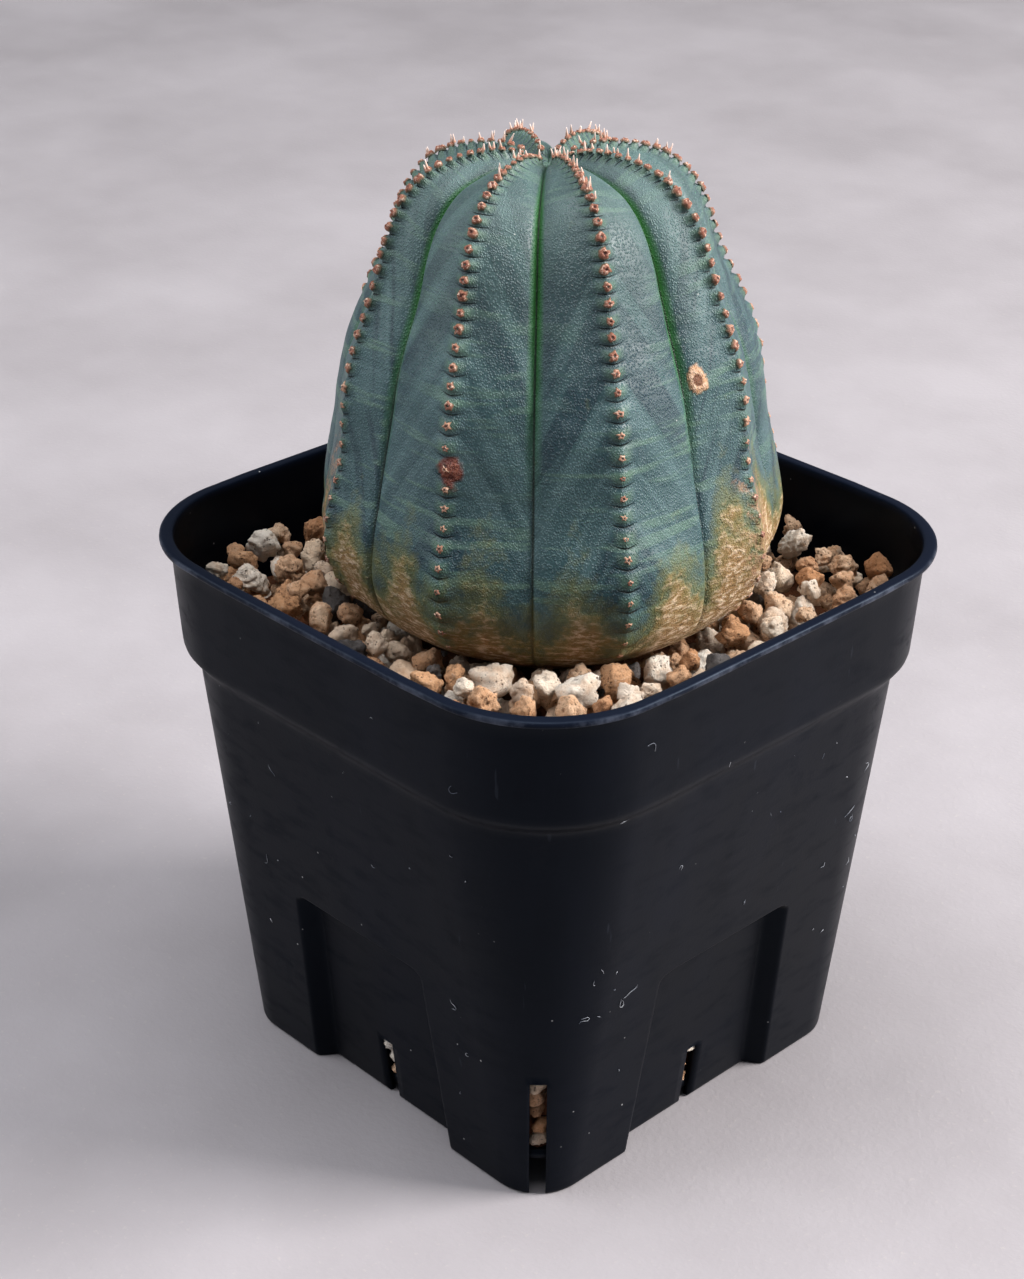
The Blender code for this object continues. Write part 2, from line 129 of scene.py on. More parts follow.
def pot_outline(half, radius, height, panel_grow=0.0):
    """Closed plan outline at every height: straight sides, bowed by a parabola and
    with the sunk panel pushed in, joined by quarter circles whose middle columns
    keep the corner slit's width.  Returns rows x columns x 3."""
    half, radius, height = (np.asarray(a, float)[:, None] for a in (half, radius, height))
    flat = side_columns()[None, :]
    wide = PANEL_HALF_LOW + (PANEL_HALF_HIGH - PANEL_HALF_LOW) * height / PANEL_TOP + panel_grow
    aside = PANEL_ROUND - (wide - flat) / PANEL_FLANK
    below = PANEL_ROUND - (PANEL_TOP + panel_grow - height) / PANEL_HEAD
    inside = np.where((aside > 0) & (below > 0), np.hypot(aside, below), np.maximum(aside, below))
    sunk = rounded_ramp(PANEL_ROUND - inside)
    bow = SIDE_BOW * np.clip(1.0 - (flat / half) ** 2, 0.0, 1.0) * (height / RIM_TOP) ** 2
    out = half + bow - PANEL_DEPTH * sunk
    along = np.broadcast_to(flat, out.shape)
    edge = np.clip(CORNER_SLIT / 2 / radius, 0.0, 0.5)
    turn = np.concatenate([np.linspace(0.0, 1.0, CORNER_STEPS)[None, :] * (math.pi / 4 - edge),
                           np.full_like(edge, math.pi / 4)], axis=1)
    ax = half - radius + radius * np.cos(turn)
    ay = half - radius + radius * np.sin(turn)
    # one eighth: from the middle of the +X side to the corner's middle
    ex = np.concatenate([out, ax], axis=1)
    ey = np.concatenate([along, ay], axis=1)
    # mirror it over the diagonal for the quarter, leaving shared columns out once
    qx = np.concatenate([ex, ey[:, -2:0:-1]], axis=1)
    qy = np.concatenate([ey, ex[:, -2:0:-1]], axis=1)
    quarters = []
    for c, s in ((1, 0), (0, 1), (-1, 0), (0, -1)):
        quarters.append(np.stack([c * qx - s * qy, s * qx + c * qy,
                                  np.broadcast_to(height, qx.shape)], axis=-1))
    return np.concatenate(quarters, axis=1)


def body_size(height):
    """Half width and corner radius of the tapered body."""
    t = height / BODY_TOP
    return FOOT_HALF + (BODY_HALF - FOOT_HALF) * t, FOOT_RADIUS + (BODY_RADIUS - FOOT_RADIUS) * t


low_rows = np.array([0.0, 0.12, 0.3, 0.55, 0.9, 1.6, 3, 4.5, 6, 7.5, 9, 10, 10.6, 11.4, 13, 15,
                     17, 19, 20.6, 21.4]) * MM
mid_rows = np.concatenate([[23, 26, 28.4, 30.0], np.linspace(30.7, 33.3, 20),
                           [34.5, 38, 43, 48, 53, 58, 62, 64.2]]) * MM
rows = np.concatenate([low_rows, mid_rows])
half, radius = body_size(rows)
under_edge = (1.0 - rows / FOOT_EDGE_HEIGHT).clip(0, 1)
round_foot = FOOT_EDGE * (1.0 - np.sqrt(np.clip(1.0 - under_edge ** 2, 0, 1)))
outer = [pot_outline(half - round_foot, radius - round_foot, rows)]

# step, collar and lip: half width, corner radius, height of each outline
upper = np.array([
    (41.52, 19.3, 65.0), (41.66, 19.3, 65.5), (42.1, 19.3, 66.2), (42.6, 19.3, 66.9),
    (42.95, 19.3, 67.5), (43.08, 19.3, 68.1), (43.13, 19.3, 69.0), (43.3, 19.3, 72.5),
    (43.5, 19.3, 77.0), (43.68, 19.3, 81.0), (43.78, 19.35, 82.9), (43.95, 19.4, 83.35),
    (44.35, 19.5, 83.55), (44.75, 19.6, 83.62), (44.93, 19.67, 83.75), (45.0, 19.7, 84.0),
    (44.97, 19.7, 84.3), (44.86, 19.66, 84.48), (44.66, 19.6, 84.58), (44.3, 19.5, 84.6),
    (43.8, 19.2, 84.6), (43.5, 19.0, 84.57), (43.34, 18.8, 84.45), (43.26, 18.7, 84.15),
    (43.1, 18.5, 82.0), (42.75, 18.3, 77.0), (42.4, 18.25, 72.0), (42.1, 18.2, 68.6),
    (41.95, 18.2, 67.6), (41.5, 18.2, 66.6), (40.9, 18.2, 65.6), (40.45, 18.2, 65.0)]) * MM
upper[:, 0] += RIM_HALF - 45.0 * MM
upper[:, 2] += RIM_TOP - 84.6 * MM
LIP_EDGE = slice(len(rows) + 13, len(rows) + 18)
outer.append(pot_outline(upper[:, 0], upper[:, 1], upper[:, 2]))
half, radius = body_size(rows)
inner = pot_outline(half - WALL, radius - WALL, rows, panel_grow=0.55 * MM)[::-1]
shell = np.concatenate(outer + [inner], axis=0)
wave = np.sin(shell[..., 2] * 95 + 3 * shell[..., 0] / RIM_HALF) * np.sin(shell[..., 1] * 61 + 1.3)
shell[..., :2] *= 1.0 + 0.0012 * wave[..., None] * (shell[..., 2:3] / RIM_TOP)
shell_rows, shell_columns = shell.shape[:2]
quads = grid_quads(shell_rows, shell_columns, wrap_rows=True)

# slits: the quads of both skins are taken out and the cut edges are walled in
quarter = shell_columns // 4
corner = len(side_columns()) + CORNER_STEPS
row_of, column_of = np.divmod(np.arange(len(quads)), shell_columns)
kept = np.ones(len(quads), bool)
cut_walls = []
for side in range(4):
    for middle, top in ((side * quarter, SIDE_SLIT_TOP), (side * quarter + corner, CORNER_SLIT_TOP)):
        last = int(np.argmin(abs(low_rows - top)))
        columns = np.array([(middle - 1) % shell_columns, middle % shell_columns])
        in_slit = np.isin(column_of, columns)
        outer_skin = row_of < last
        inner_skin = row_of >= shell_rows - 1 - last
        kept &= ~(in_slit & (outer_skin | inner_skin))
        i = np.arange(last)
        for edge, flip in (((middle - 1) % shell_columns, False), ((middle + 1) % shell_columns, True)):
            a, b = i * shell_columns + edge, (i + 1) * shell_columns + edge
            far_a = (shell_rows - 1 - i) * shell_columns + edge
            far_b = (shell_rows - 2 - i) * shell_columns + edge
            cut_walls.append(np.stack([a, b, far_b, far_a] if flip else [a, far_a, far_b, b], axis=1))
        after = (columns + 1) % shell_columns
        near, far = last * shell_columns, (shell_rows - 1 - last) * shell_columns
        cut_walls.append(np.stack([near + after, far + after, far + columns, near + columns], axis=1))
shell_quads = np.concatenate([quads[kept]] + cut_walls)
points = shell.reshape(-1, 3)

# floor plate: raised pads in the corners, a thin slab following the inside wall
reach = np.concatenate([np.linspace(0.04, 0.5, 6), np.linspace(0.55, 1.0, 22)])
floor_half, floor_radius = body_size(np.array([PLATE_HEIGHT]))
rim = pot_outline(floor_half - WALL * 0.8, floor_radius - WALL * 0.8, [PLATE_HEIGHT], panel_grow=0.5 * MM)[0]
plate = rim[None, :, :] * np.array([1.0, 1.0, 0.0]) * reach[:, None, None]
inset = np.minimum(abs(plate[..., 0]), abs(plate[..., 1]))
top_skin, under_skin = plate.copy(), plate.copy()
top_skin[..., 2] = 3.2 * MM + PAD_LIFT * eased((inset - 16.6 * MM) / PAD_SLOPE)
under_skin[..., 2] = 2.0 * MM + PAD_LIFT * eased((inset - 17.6 * MM) / PAD_SLOPE)
slab = np.concatenate([top_skin, under_skin[::-1]], axis=0)
slab_quads = grid_quads(len(slab), shell_columns, wrap_rows=True) + len(points)
points = np.concatenate([points, slab.reshape(-1, 3)])

pot = mesh_piece("nursery_pot", points, np.concatenate([shell_quads, slab_quads])[:, ::-1])
# painted highlight: a pale share per point on the rows of the lip's rounded outer edge, standing for the sky
# reflecting there
lip_edge_highlight = np.zeros(len(points))
lip_edge_highlight_rows = lip_edge_highlight[:shell_rows * shell_columns].reshape(shell_rows, shell_columns)
lip_edge_highlight_rows[LIP_EDGE] = np.array([0.5, 1.0, 1.0, 0.7, 0.3])[:, None]
paint(pot, "lip_edge_highlight", lip_edge_highlight)


def new_finish(name):
    """An empty node material, its node tree and its shader; the short functions
    below add their nodes to the tree that was made last."""
    made = bpy.data.materials.new(name)
    made.use_nodes = True
    return made, made.node_tree, made.node_tree.nodes["Principled BSDF"]


def add(kind, _out=0, **sockets):
    """A new node's output.  A set_ name is a setting, i and a number is the input
    of that number, any other name is an input's; its value is set or linked."""
    node = tree.nodes.new(kind)
    for label in [label for label in sockets if label.startswith("set_")]:
        setattr(node, label[4:], sockets.pop(label))
    for label, value in sockets.items():
        numbered = label[0] == "i" and label[1:].isdigit()
        socket = node.inputs[int(label[1:]) if numbered else label.replace("_", " ")]
        if isinstance(value, bpy.types.NodeSocket):
            tree.links.new(value, socket)
        else:
            socket.default_value = value
    return node.outputs[_out]


def connect(colour, rough, bumps):
    """Links a colour, a roughness and a normal to the shader that was made last."""
    for label, value in (("Base Color", colour), ("Roughness", rough), ("Normal", bumps)):
        tree.links.new(value, shader.inputs[label])


def painted(label):
    """The number that was painted on each point under a label."""
    return add("ShaderNodeAttribute", 2, set_attribute_name=label)


def object_place():
    """Place on the object, in metres."""
    return add("ShaderNodeTexCoord", 3)


def noise(place, scale, detail=3.0, rough=0.55, stretch=None):
    """Cloudy pattern, about 0.3 to 0.7, scale in features per metre."""
    if stretch is not None:
        place = add("ShaderNodeMapping", Vector=place, Scale=stretch)
    return add("ShaderNodeTexNoise", Vector=place, Scale=scale, Detail=detail, Roughness=rough)


def ramp(value, low, high, to_low=0.0, to_high=1.0):
    """Straight remap with clamped ends."""
    return add("ShaderNodeMapRange", Value=value, i1=low, i2=high, i3=to_low, i4=to_high)


def maths(operation, a, b=0.0):
    """One step of arithmetic on two values."""
    return add("ShaderNodeMath", set_operation=operation, i0=a, i1=b)


def times(a, b):
    """Product of two values."""
    return maths("MULTIPLY", a, b)


def plus(a, b):
    """Sum of two values."""
    return maths("ADD", a, b)


def blend(share, a, b, kind="MIX"):
    """Mix of two colours."""
    return add("ShaderNodeMix", 2, set_data_type="RGBA", set_blend_type=kind,
               i0=share, i6=a, i7=b)


def relief(height, depth, strength=1.0, over=None):
    """Bump of the given real depth."""
    sockets = {"Height": height, "Distance": depth, "Strength": strength}
    if over is not None:
        sockets["Normal"] = over
    return add("ShaderNodeBump", **sockets)


plastic, tree, shader = new_finish("black_polypropylene")
place = object_place()
cloud = noise(place, 38.0, 4.0)
grime = noise(place, 160.0, 6.0, 0.65)
streaks = noise(place, 60.0, 4.0, 0.6, stretch=(1.0, 1.0, 0.16))
scuff = noise(place, 420.0, 3.0, 0.6, stretch=(0.35, 0.35, 1.0))
dust = add("ShaderNodeTexVoronoi", Vector=place, Scale=330.0, Randomness=1.0)
dust_grain = ramp(dust, 0.060, 0.030)
dust_pick = ramp(noise(place, 520.0, 1.0), 0.54, 0.60)
dust_patch = ramp(noise(place, 40.0, 2.0), 0.40, 0.55)
specks = times(times(dust_grain, dust_pick), dust_patch)
shine = plus(ramp(cloud, 0.3, 0.7, 0.36, 0.46), ramp(scuff, 0.5, 0.7, 0.0, 0.10))
shine = plus(shine, ramp(grime, 0.60, 0.80, 0.0, 0.22))
base = blend(ramp(cloud, 0.35, 0.65), (0.0012, 0.0014, 0.0027, 1), (0.0022, 0.0026, 0.0050, 1))
base = blend(ramp(streaks, 0.52, 0.72, 0.0, 0.5), base, (0.0038, 0.0044, 0.0080, 1))
base = blend(ramp(grime, 0.62, 0.80, 0.0, 0.30), base, (0.013, 0.013, 0.016, 1))
height = add("ShaderNodeSeparateXYZ", 2, Vector=place)
# painted reflection: the flat lip top is tinted navy blue, as if the sky were reflecting in it
lip = ramp(height, RIM_TOP - 0.0012, RIM_TOP - 0.0005)
base = blend(times(lip, 0.85), base, (0.0040, 0.0058, 0.0130, 1))
# painted highlight: a pale, noise-broken line along the lip's rounded outer edge
edge_highlight_share = ramp(noise(place, 190.0, 5.0, 0.7), 0.44, 0.62, 0.02, 0.75)
edge_highlight_share = times(painted("lip_edge_highlight"), edge_highlight_share)
base = blend(edge_highlight_share, base, (0.075, 0.085, 0.115, 1))
scratch = noise(add("ShaderNodeMapping", Vector=place, Scale=(1.0, 1.0, 0.12),
                         Rotation=(0.35, 0.25, 0.0)), 800.0, 2.0, 0.5)
base = blend(ramp(scratch, 0.74, 0.78, 0.0, 0.30), base, (0.03, 0.034, 0.045, 1))
base = blend(times(specks, 0.75), base, (0.50, 0.50, 0.50, 1))
fine = relief(noise(place, 2600.0, 2.0), 0.00003, 0.35)
fine = relief(scuff, 0.00004, 0.35, over=fine)
fine = relief(specks, 0.00008, 0.6, over=fine)
connect(base, shine, fine)
shader.inputs["Specular IOR Level"].default_value = 0.10
shader.inputs["Specular Tint"].default_value = (0.55, 0.75, 1.0, 1.0)
pot.data.materials.append(plastic)
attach(pot, "root")
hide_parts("pot")

# ------------------------------------------------------------------ lint
# Short curled fibres of dust and thread, held to the outside of the pot by
# static; the low ones keep to its corners, clear of the panels.


def wall_place(side, along, height):
    """Points on the pot's outside: distance along the outline from a side's
    middle, straight on the flat, then round the corner's arc, at any height."""
    body_half, body_radius = body_size(height)
    share = eased((height - 64.9 * MM) / (3.0 * MM))
    collar = (43.1 + (height / MM - 68.0) * 0.048) * MM
    half = body_half + (collar - body_half) * share
    radius = body_radius + (19.3 * MM - body_radius) * share
    flat = half - radius
    turn = np.clip(abs(along) - flat, 0.0, None) / radius
    x = flat + radius * np.cos(turn)
    y = np.sign(along) * (np.minimum(abs(along), flat) + radius * np.sin(turn))
    outward = np.stack([np.cos(turn), np.sign(along) * np.sin(turn), 0 * turn], axis=-1)
    c, s = np.cos(side * math.pi / 2), np.sin(side * math.pi / 2)
    spot = np.stack([c * x - s * y, s * x + c * y, height], axis=-1)
    facing = np.stack([c * outward[..., 0] - s * outward[..., 1],
                       s * outward[..., 0] + c * outward[..., 1], outward[..., 2]], axis=-1)
    return spot, facing


def copies(points, quads, fans):
    """One mesh of many like ones: points copy by copy, face numbers shifted along."""
    count, size = points.shape[:2]
    base = (np.arange(count) * size)[:, None, None]
    return points.reshape(-1, 3), (quads[None] + base).reshape(-1, 4), (fans[None] + base).reshape(-1, 3)


def fibres(count, seed):
    """Thin tapering tubes on the wall: heading and bend drawn for each, the path
    summed from them along its length, three-sided rings round the path."""
    rng = np.random.default_rng(seed)
    steps, sides = 8, 3
    side = rng.integers(0, 4, (count, 1))
    start = rng.choice([-1, 1], (count, 1)) * (19 + 11 * rng.uniform(size=(count, 1)) ** 1.5) * MM
    height = (14 + 66 * rng.uniform(size=(count, 1))) * MM
    free = height[:, 0] > 36 * MM
    start[free] = rng.uniform(-30, 30, (free.sum(), 1)) * MM
    length = (0.5 + 2.9 * rng.uniform(size=(count, 1)) ** 2) * MM
    t = np.linspace(0.0, 1.0, steps)
    heading = rng.uniform(0, 2 * math.pi, (count, 1)) + rng.normal(size=(count, 1)) * 2.2 * t[None, :]
    heading = heading + rng.normal(size=(count, 1)) * 1.2 * np.sin(2 * math.pi * t)[None, :]
    step = length / (steps - 1)
    along = start + np.cumsum(np.cos(heading) * step, axis=1)
    up = height + np.cumsum(np.sin(heading) * step, axis=1)
    path, facing = wall_place(side + 0.0 * up, along, up)
    path = path + facing * (0.05 + 0.12 * np.sin(math.pi * t))[None, :, None] * MM
    ahead = np.gradient(path, axis=1)
    ahead /= np.linalg.norm(ahead, axis=2, keepdims=True)
    beside = np.cross(facing, ahead)
    thick = (0.026 + 0.024 * np.sin(math.pi * t)) * MM
    phi = np.arange(sides) * 2 * math.pi / sides
    ring = np.cos(phi)[:, None] * facing[:, :, None, :] + np.sin(phi)[:, None] * beside[:, :, None, :]
    tube = path[:, :, None, :] + ring * thick[None, :, None, None]
    ends = np.array([[2, 1, 0], [(steps - 1) * sides, (steps - 1) * sides + 1, (steps - 1) * sides + 2]])
    return copies(tube.reshape(count, -1, 3), grid_quads(steps, sides), ends)


verts, quads, caps = fibres(120, 17)
lint = mesh_piece("lint", verts, quads[:, ::-1], caps)
thread, tree, shader = new_finish("grey_lint")
place = object_place()
shade = noise(place, 240.0, 3.0)
tone = blend(ramp(shade, 0.40, 0.60), (0.08, 0.095, 0.13, 1), (0.46, 0.47, 0.50, 1))
connect(tone, ramp(shade, 0.3, 0.7, 0.75, 0.95), relief(noise(place, 5200.0, 2.0), 0.00002, 0.5))
lint.data.materials.append(thread)
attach(lint, "root")

# ------------------------------------------------------------------ stem
# The plant itself, one succulent stem: eight broad ribs parted by sharp
# furrows, a low wart for every old flower stalk along each rib, a sunk crown
# and a corky brown foot that goes on into the root below the gravel.

AXIS_X, AXIS_Y, AXIS_Z = -1.6 * MM, 2.0 * MM, 73.5 * MM
LEAN_X, LEAN_Y = -0.058, 0.036
CREST_DIRECTIONS = np.radians([-111.6, -70.8, -25.9, 17.6, 62.5, 108.0, 153.5, 199.5])
FURROW_DIRECTIONS = np.radians([-134.5, -97.0, -48.4, 0.3, 40.5, 85.5, 131.0, 176.5])
RIBS = 8
FLANK_COLUMNS = 20
STEM_ROWS = 290

# in millimetres: distance from the axis and height of a crest, then the furrow's
# share of that distance and its drop below the crest, foot to crown
CREST_TRACK = np.array([
    (10.0, 66.0, 1.00, 0.0), (16.5, 69.6, 1.00, 0.0), (22.4, 72.9, 0.99, 0.0),
    (26.9, 75.5, 0.975, 0.0), (29.9, 78.0, 0.95, 0.0), (32.0, 81.0, 0.93, 0.0),
    (33.1, 84.4, 0.92, 0.0), (33.4, 88.0, 0.905, 0.0), (32.9, 91.6, 0.90, 0.0),
    (31.7, 95.5, 0.903, 0.0), (30.6, 99.5, 0.91, 0.0), (30.1, 103.5, 0.90, 0.05),
    (29.7, 107.5, 0.885, 0.1), (28.9, 111.5, 0.88, 0.2), (27.5, 116.0, 0.872, 0.4),
    (25.7, 120.5, 0.868, 0.7), (24.1, 125.0, 0.862, 1.2), (22.8, 129.0, 0.86, 1.8),
    (21.3, 132.2, 0.862, 2.1), (19.2, 134.8, 0.872, 2.3), (16.5, 136.8, 0.888, 2.4),
    (13.3, 137.9, 0.90, 2.4), (10.2, 138.4, 0.905, 2.2), (7.2, 138.5, 0.915, 2.0),
    (4.7, 138.0, 0.93, 1.6), (2.6, 137.1, 0.96, 0.9), (1.0, 136.4, 1.0, 0.2), (0.0, 136.2, 1.0, 0.0)])
CREST_TRACK[:, :2] *= MM
CREST_TRACK[:, 3] *= MM


def smooth_track(track, count, crowding=0.0):
    """Catmull-Rom curve through a track of points, resampled to even arc length;
    crowding above 0 brings the last samples closer together."""
    padded = np.concatenate([2 * track[:1] - track[1:2], track, 2 * track[-1:] - track[-2:-1]])
    t = np.linspace(0, len(track) - 1, 40 * len(track))
    i = np.minimum(t.astype(int), len(track) - 2)
    u = (t - i)[:, None]
    p0, p1, p2, p3 = (padded[i + k] for k in range(4))
    dense = 0.5 * (2 * p1 + (p2 - p0) * u + (2 * p0 - 5 * p1 + 4 * p2 - p3) * u ** 2
                   + (3 * p1 - p0 - 3 * p2 + p3) * u ** 3)
    run = np.concatenate([[0.0], np.cumsum(np.hypot(*np.diff(dense[:, :2], axis=0).T))])
    share = np.linspace(0.0, 1.0, count)
    share = share * (1.0 + crowding - crowding * share)
    at = share * run[-1]
    return np.stack([np.interp(at, run, dense[:, k]) for k in range(dense.shape[1])], axis=1), at


def lattice_noise(x, y, seed, octaves=4):
    """Smooth random field of two arrays: bilinear lattice values with eased
    fractions, summed over octaves of doubled frequency and halved weight."""
    rng = np.random.default_rng(seed)
    total, weight = np.zeros(np.broadcast(x, y).shape), 1.0
    for _ in range(octaves):
        table = rng.uniform(-1.0, 1.0, (64, 64))
        ix, iy = np.floor(x).astype(int), np.floor(y).astype(int)
        fx, fy = eased(x - ix), eased(y - iy)
        a, b = table[ix % 64, iy % 64], table[(ix + 1) % 64, iy % 64]
        c, d = table[ix % 64, (iy + 1) % 64], table[(ix + 1) % 64, (iy + 1) % 64]
        total = total + weight * ((a + (b - a) * fx) * (1 - fy) + (c + (d - c) * fx) * fy)
        x, y, weight = x * 2.03 + 17.1, y * 2.03 + 5.7, weight * 0.5
    return total


track, run = smooth_track(CREST_TRACK, STEM_ROWS, 0.12)
crest_r, crest_z, furrow_share, furrow_drop = track.T


def rib_columns():
    """Direction, nearness to the crest and rib number of each column: even steps
    drawn in towards the furrow and the crest, furrow to crest to furrow."""
    s = np.linspace(0.0, 1.0, FLANK_COLUMNS + 1)
    s = 0.55 * s + 0.45 * (0.5 - 0.5 * np.cos(np.pi * s))
    turn, near, rib, signed = [], [], [], []
    for k in range(RIBS):
        crest = CREST_DIRECTIONS[k]
        before = FURROW_DIRECTIONS[k]
        after = FURROW_DIRECTIONS[(k + 1) % RIBS] + (2 * math.pi if k == RIBS - 1 else 0.0)
        turn += [before + (crest - before) * s[:-1], crest + (after - crest) * s[:-1]]
        near += [s[:-1], 1.0 - s[:-1]]
        rib += [np.full(2 * FLANK_COLUMNS, k)]
        signed += [s[:-1] - 1.0, s[:-1]]
    return (np.concatenate(a) for a in (turn, near, rib, signed))


turn, near, rib, signed = rib_columns()

# heights and the spacing of warts there
WART_GAPS = np.array([(76, 3.4), (86, 3.2), (92, 2.6), (99, 2.7), (106, 2.8), (115, 2.4),
                      (124, 2.15), (131, 1.9), (135, 1.75), (138, 1.5)]) * MM


def wart_rows(seed):
    """Arc length of every wart up one rib: 3.4 mm apart at the foot, closing to
    1.35 mm in the crown, with a little jitter."""
    rng = np.random.default_rng(seed)
    at, places = run[np.searchsorted(crest_z, 76.8 * MM)] + rng.uniform(0, 2.4) * MM, []
    while at < run[-1] - 3.0 * MM:
        places.append(at)
        height, reach = np.interp(at, run, crest_z), np.interp(at, run, crest_r)
        gap = np.interp(height, WART_GAPS[:, 0], WART_GAPS[:, 1])
        at += (gap if reach > 9 * MM else 1.35 * MM) * rng.uniform(0.92, 1.08)
    return np.array(places)


WARTS = [wart_rows(40 + k) for k in range(RIBS)]


def crown_tilt(direction, reach, height):
    """How much lower the shoulder lies on the side the stem leans to: a share of
    the reach times a ramp in direction and a ramp from 112 to 134 mm."""
    towards = np.cos(direction - math.atan2(LEAN_Y, LEAN_X))
    return 0.105 * reach * eased((towards + 0.2) / 0.7) * eased((height - 112 * MM) / (22 * MM))


def belly(direction, height):
    """Extra radius where the barrel swells on two sides: a bell round each side's
    direction, times a ramp that rises from 74 mm and dies out at 126 mm."""
    swollen = 0.0
    for middle, spread, most in ((-148.0, 20.0, 2.0 * MM), (54.0, 18.0, 2.5 * MM)):
        off = np.angle(np.exp(1j * (direction - math.radians(middle)))) / math.radians(spread)
        swollen = swollen + most * np.exp(-off ** 2)
    up = eased((126 * MM - height) / (24 * MM)) * (0.45 + 0.55 * eased((height - 74 * MM) / (10 * MM)))
    return swollen * up


def stem_surface(turn, near, rib, rows_run, crest_r, crest_z, furrow_share, furrow_drop):
    """Ribbed barrel: each point lies between its row's furrow point and crest
    point, by the way to the crest to the power 1.75 low down and 1.1 higher up,
    plus one minus an exponential, the narrow crease along every furrow.  Two
    noises swell and dent the radius."""
    s = near[None, :]
    young = eased((rows_run[:, None] - 32 * MM) / (45 * MM))
    broad = s ** (1.75 - 0.65 * young)
    crease = 1.0 - np.exp(-s / (0.045 + 0.060 * young))
    share = 0.20 + 0.22 * young
    fullness = (1 - share) * broad + share * crease
    crisp = 0.30 * MM * np.exp(-((1.0 - s) / 0.13) ** 2)
    high = eased((crest_z[:, None] - 80 * MM) / (40 * MM))
    crown = np.clip(crest_r[:, None] / (9 * MM), 0.0, 1.0)
    own = lattice_noise(rows_run[:, None] / (16 * MM) + 0 * s, 3.7 * rib[None, :] + 0.3, 15, 2)
    crest = crest_r[:, None] * (1.0 + 0.012 * own * crown)
    r = crest * (furrow_share[:, None] + (1 - furrow_share[:, None]) * fullness)
    r = r + crisp * high * crown + belly(turn[None, :], crest_z[:, None])
    z = crest_z[:, None] - furrow_drop[:, None] * (1 - fullness)
    # swelling and shallow dents of a living stem
    swell = lattice_noise(rows_run[:, None] / (11 * MM) + 0 * turn, 2.6 * turn[None, :], 5, 3)
    r = r * (1.0 + 0.009 * swell * crown)
    z = z - crown_tilt(turn[None, :], crest_r[:, None], crest_z[:, None])
    pleat = np.sin(rows_run[:, None] / (1.3 * MM) + 1.5 * np.sin(5 * near[None, :] + rib))
    r = r + 0.03 * MM * pleat * near[None, :] * crown
    return r, z


r, z = stem_surface(turn, near, rib, run, crest_r, crest_z, furrow_share, furrow_drop)

# warts and notches, pushed along the outline's own outward direction
slope = np.gradient(crest_r, run), np.gradient(crest_z, run)
out_r, out_z = slope[1][:, None], -slope[0][:, None]
lateral = np.where(near > 0.5, (1 - near), 1.0)[None, :] * crest_r[:, None] * (math.pi / RIBS)
push = np.zeros_like(r)
notch = np.zeros_like(r)
wart_count = np.zeros_like(r)


def wart_height(height):
    """How far a wart stands out of the crest, low at the foot, tall on the shoulder."""
    return (0.22 + 0.66 * eased((height - 98 * MM) / (32 * MM))) * MM


for k in range(RIBS):
    mine = np.flatnonzero(rib == k)
    gaps = np.diff(WARTS[k])
    ends = np.concatenate([[WARTS[k][0] - 40 * gaps[0]], WARTS[k], [WARTS[k][-1] + 40 * gaps[-1]]])
    counts = np.concatenate([[-40.0], np.arange(len(WARTS[k])), [len(WARTS[k]) + 39.0]])
    wart_count[:, mine] = np.interp(run, ends, counts)[:, None]
    for at in WARTS[k]:
        gap = np.interp(np.interp(at, run, crest_z), WART_GAPS[:, 0], WART_GAPS[:, 1])
        tall = wart_height(np.interp(at, run, crest_z))
        window = np.flatnonzero(abs(run - at) < 3.4 * MM)
        box = np.ix_(window, mine)
        up = (run[window] - at)[:, None]
        side = lateral[box]
        bump = np.exp(-(up / (0.38 * gap)) ** 2 - (side / (0.50 * gap)) ** 2)
        push[box] = np.maximum(push[box], tall * bump)
        line = up + 0.47 * gap - 0.10 * side ** 2 / gap
        low = np.exp(-((line / (0.16 * gap)) ** 2 + (side / (0.55 * gap)) ** 2))
        notch[box] = np.maximum(notch[box], low)
push -= 0.20 * MM * notch
lean_x = AXIS_X + LEAN_X * (z - AXIS_Z)
lean_y = AXIS_Y + LEAN_Y * (z - AXIS_Z)
r_out = np.maximum(r + push * out_r, 0.0)
z_out = z + push * out_z
stem_points = np.stack([lean_x + r_out * np.cos(turn), lean_y + r_out * np.sin(turn), z_out], axis=-1)
stem_rows, stem_columns = r.shape
quads = grid_quads(stem_rows, stem_columns)
flat_points = stem_points.reshape(-1, 3)
foot = len(flat_points)
flat_points = np.concatenate([flat_points, stem_points[:1].mean(axis=1)])
ring = np.arange(stem_columns)
fans = np.stack([np.full(stem_columns, foot), (ring + 1) % stem_columns, ring], axis=1)
stem = mesh_piece("stem_body", flat_points, quads, fans)

across = signed[None, :] * crest_r[:, None] * (math.pi / RIBS)
cork_line = (3.5 + 7.5 * np.exp(-((near - 0.5) / 0.26) ** 2)[None, :]
             + 4.0 * lattice_noise(1.7 * turn[None, :] + 9, z / (40 * MM), 8, 4)
             + 9.5 * np.exp(-(np.angle(np.exp(1j * (turn - math.radians(18)))) / 0.42) ** 2)[None, :]) * MM
cork = (76.0 * MM + cork_line - z) / (4.0 * MM)


def near_spot(direction, height, wide, tall, ragged, seed):
    """1 at a spot on the stem, 0 at its ragged edge and beyond: distance from the
    spot in its own half width and half height, wobbling with a noise."""
    off = np.angle(np.exp(1j * (turn[None, :] - math.radians(direction)))) * r / wide
    up = (z - height) / tall
    wobble = lattice_noise(r * np.cos(turn) / (1.1 * MM) + 40,
                           r * np.sin(turn) / (1.1 * MM) + z / (0.9 * MM), seed, 3)
    return np.clip(1.0 - np.hypot(off, up) + ragged * wobble, 0.0, 1.0)


